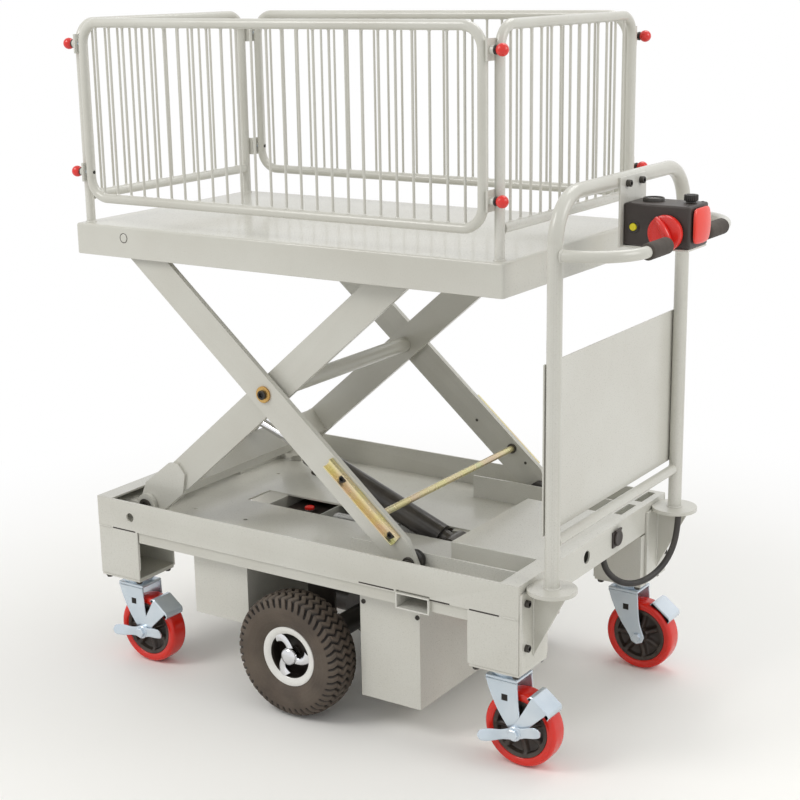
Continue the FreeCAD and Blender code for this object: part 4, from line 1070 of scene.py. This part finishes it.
# Eighteen cosine waves round the cap's edge.
def capRidges(profile, angle):
    return 0.6 * np.cos(angle * 18)[None] * (profile[:, :1] > 9)


def makeChassisFittings():
    lid = [
        roundBlock((520, 63, 333), (523.4, 103, 367), 1.6, 0),
        lathe([(0, 3), (15.5, 3), (16.5, 4), (16.5, 6.6), (15, 8), (12, 7.4), (0, 7)],
              (520, 83, 351), "x", 48, 0),
        lathe([(0, 0), (2.4, 0), (2.4, 26), (0, 26)], (525, 70, 368), "y", 16),
        lathe([(0, -18), (14.6, -18), (14.6, 2), (0, 2)], (520, 83, 350), "x", 36, 0),
    ]
    socket = makePiece("chargeSocket", lid, "chassis", ["darkPlastic"], 34)
    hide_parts("charge_socket")
    caps = []
    for side in (-1, 1):
        caps.append(lathe([(0, 304), (10, 304), (10.4, 305), (10.4, 309), (9, 310), (0, 310)],
                          (-205, side * 22, 0), "z", 72, 0, capRidges))
        for x in (-255, -165):
            caps.append(lathe([(0, 296), (7, 296), (7, 303), (5, 305), (0, 305)],
                              (x, side * 150, 0), "z", 24, 1))
    makePiece("batteryCaps", caps, "chassis", ["redPlastic", "bareSteel"], 32)
    slits = []
    # Dark strips on the rails' outer faces: painted shade standing for the slits.
    for side in (-1, 1):
        for first, last, z in ((304.6, 372.4, 315.2), (415, 479, 314.6), (-479, -415, 314.6),
                               (165, 247, 318.4)):
            low, high = sorted((side * 320.25, side * 319.2))
            slits.append(roundBlock((first, low, z - 1.6), (last, high, z + 1.6), 0.5))
    makePiece("railSlitShade", slits, "chassis", ["rimDark"], 32)


makeFrameBolts()
makeLinkageFittings()
makeChassisFittings()
print("fittings made")

# Weld beads at the tube and plate joints of the fence and the frame.
fence = {"posts": (-541, 447), "postY": 262, "gateY": 285, "barEnds": ((1031, 1), (1363, -1)),
         "hinges": (1332, 1073)}


def makeWelds():
    deckWelds, frameWelds = [], []
    for end, bracket in zip(fence["posts"], (plunger["left"] - 14, plunger["right"] + 14)):
        for side in (-1, 1):
            deckWelds.append(weldRing((end, side * fence["postY"], deck["top"]), "z", 9.5, 2.6))
            deckWelds.append(weldRing((end, side * 252.6, 1021), "y", 9.6, 1.6))
            for z in fence["hinges"]:
                deckWelds.append(weldLine((bracket, side * 266, z - 18), (bracket, side * 266, z + 18), 1.5))
    for side in (-1, 1):
        frameWelds.append(weldRing((563, side * 272, 371), "z", 14, 2.8))
        frameWelds.append(weldRing((577, side * 272, 985), "x", 11, 2.2))
        frameWelds.append(weldRing((563, side * 258.2, 456), "y", 10, 2.0))
        for y in (side * 269, side * 275):
            frameWelds.append(weldLine((527, y, 362.6), (594, y, 362.6), 1.8))
        for y in (side * 269, side * 275):
            frameWelds.append(weldLine((526.6, y, 232), (526.6, y, 360), 1.8))
        for first, last in ((-519, -482), (484, 518)):
            frameWelds.append(weldLine((first, side * 320.2, 314.5), (last, side * 320.2, 314.5), 1.6))
        for end in (-1, 1):
            frameWelds.append(weldLine((end * 519.6, side * 317, 322), (end * 519.6, side * 317, 378), 1.5))
            frameWelds.append(weldLine((end * 410, side * 316, 226), (end * 410, side * 316, 290), 1.2))
        for x in (252.6, 327.4):
            frameWelds.append(weldLine((x, side * 319.6, 288), (x, side * 319.6, 316), 1.5))
    makePiece("deckWelds", deckWelds, "deck", ["greyPaint"], 60)
    makePiece("frameWelds", frameWelds, "chassis", ["greyPaint"], 60)


# Tiny swollen rings where each fence bar meets its rail, a ten-sided ring with four points across.
def makeBarWelds(name, body, places):
    places = np.asarray(places, float)
    turn = np.linspace(0, 2 * np.pi, 10, endpoint=False)
    section = np.array([(2.4, -1.2), (4.3, -1.0), (3.4, 0.6), (2.5, 1.7)])
    reach = section[:, 0][:, None]
    shells = [(np.stack([x + reach * np.cos(turn), y + reach * np.sin(turn),
                         z + facing * section[:, 1][:, None] + 0 * turn], -1), True, True, 0)
              for x, y, z, facing in places]
    makePiece(name, shells, body, ["greyPaint"], 60)


makeWelds()
for sideName, side in sides.items():
    barX = plunger["left"] + 36 * np.arange(1, 26)
    gateEnds = [(x, side * fence["gateY"], z, facing) for x in barX for z, facing in fence["barEnds"]]
    makeBarWelds("gateWelds_" + sideName, "side_gate_" + sideName, gateEnds)
barY = -fence["postY"] + 2 * fence["postY"] / 14 * np.arange(1, 14)
frameEnds = [(x, y, z, facing) for x in fence["posts"] for y in barY for z, facing in fence["barEnds"]]
makeBarWelds("endFrameWelds", "deck", frameEnds)
print("welds laid")

# Studio: pale floor that turns white away from the object, soft lamps and a white surround.
studio = {"floorNear": 0.85, "floorFar": 2.0, "floorTone": (0.92, 0.91, 0.88, 1), "skyLight": 0.68,
          "skyTone": (0.98, 0.99, 1, 1)}


def largerOf(tree, first, second):
    return addNode(tree, "ShaderNodeMath", {0: first, 1: second}, operation="MAXIMUM").outputs[0]


# One for rays that the camera or a glossy surface sends out.
def seenDirectly(tree):
    ray = addNode(tree, "ShaderNodeLightPath").outputs
    return largerOf(tree, ray["Is Camera Ray"], ray["Is Glossy Ray"])


# A disc of rings: radius by row and angle by column, its middle closed to one point.
def makeFloor():
    radius = np.concatenate([[0], np.geomspace(200, 14000, 24)])[:, None]
    angle = np.linspace(0, 2 * np.pi, 72, endpoint=False)[None]
    grid = np.stack([radius * np.cos(angle), radius * np.sin(angle), 0 * radius * angle], axis=-1)
    points, quads, _ = joinShells([(grid, False, True, 0)])
    mesh = bpy.data.meshes.new("studioFloor")
    mesh.from_pydata(points / 1000, [], quads.tolist())
    mergePoints(mesh, 1e-6)
    floor = addObject("studioFloor", mesh)
    material = bpy.data.materials.new("floorPale")
    material.use_nodes = True
    tree = material.node_tree
    shader = tree.nodes["Principled BSDF"]
    shader.inputs["Base Color"].default_value = studio["floorTone"]
    shader.inputs["Roughness"].default_value = 0.7
    shader.inputs["Specular IOR Level"].default_value = 0.2
    glow = addNode(tree, "ShaderNodeEmission").outputs[0]
    place = addNode(tree, "ShaderNodeTexCoord").outputs["Object"]
    length = addNode(tree, "ShaderNodeVectorMath", {0: place}, operation="LENGTH").outputs["Value"]
    fade = addNode(tree, "ShaderNodeMapRange", {0: length, 1: studio["floorNear"], 2: studio["floorFar"]},
                   interpolation_type="SMOOTHSTEP").outputs[0]
    share = productOf(tree, fade, seenDirectly(tree))
    blend = addNode(tree, "ShaderNodeMixShader", {0: share, 1: shader.outputs[0], 2: glow}).outputs[0]
    tree.links.new(blend, tree.nodes["Material Output"].inputs["Surface"])
    mesh.materials.append(material)


def makeSky():
    world = bpy.data.worlds.new("studioSurround")
    bpy.context.scene.world = world
    world.use_nodes = True
    tree = world.node_tree
    white = tree.nodes["Background"]
    white.inputs["Color"].default_value = (1, 1, 1, 1)
    lit = addNode(tree, "ShaderNodeBackground", {"Color": studio["skyTone"], "Strength": studio["skyLight"]})
    ray = addNode(tree, "ShaderNodeLightPath").outputs
    through = largerOf(tree, seenDirectly(tree), ray["Is Transmission Ray"])
    blend = addNode(tree, "ShaderNodeMixShader",
                    {0: through, 1: lit.outputs[0], 2: white.outputs[0]}).outputs[0]
    tree.links.new(blend, tree.nodes["World Output"].inputs["Surface"])


def makeLamp(name, place, aim, size, power, warmth=(1, 1, 1)):
    data = bpy.data.lights.new(name, "AREA")
    data.shape = "DISK"
    data.size = size
    data.energy = power
    data.color = warmth
    lamp = addObject(name, data)
    lamp.location = place
    lamp.rotation_mode = "QUATERNION"
    lamp.rotation_quaternion = (Vector(aim) - Vector(place)).to_track_quat("-Z", "Y")


makeFloor()
makeSky()
makeLamp("keyLamp", (-1.8, -2.6, 3.4), (0, 0, 0.6), 1.8, 54, (1, 0.985, 0.96))
makeLamp("sideLamp", (3.2, 0.4, 2.6), (0, 0, 0.6), 1.8, 32, (1, 0.985, 0.96))
makeLamp("topLamp", (0.2, 1.6, 3.8), (0, 0, 0.9), 2.0, 30)
print("studio lit")
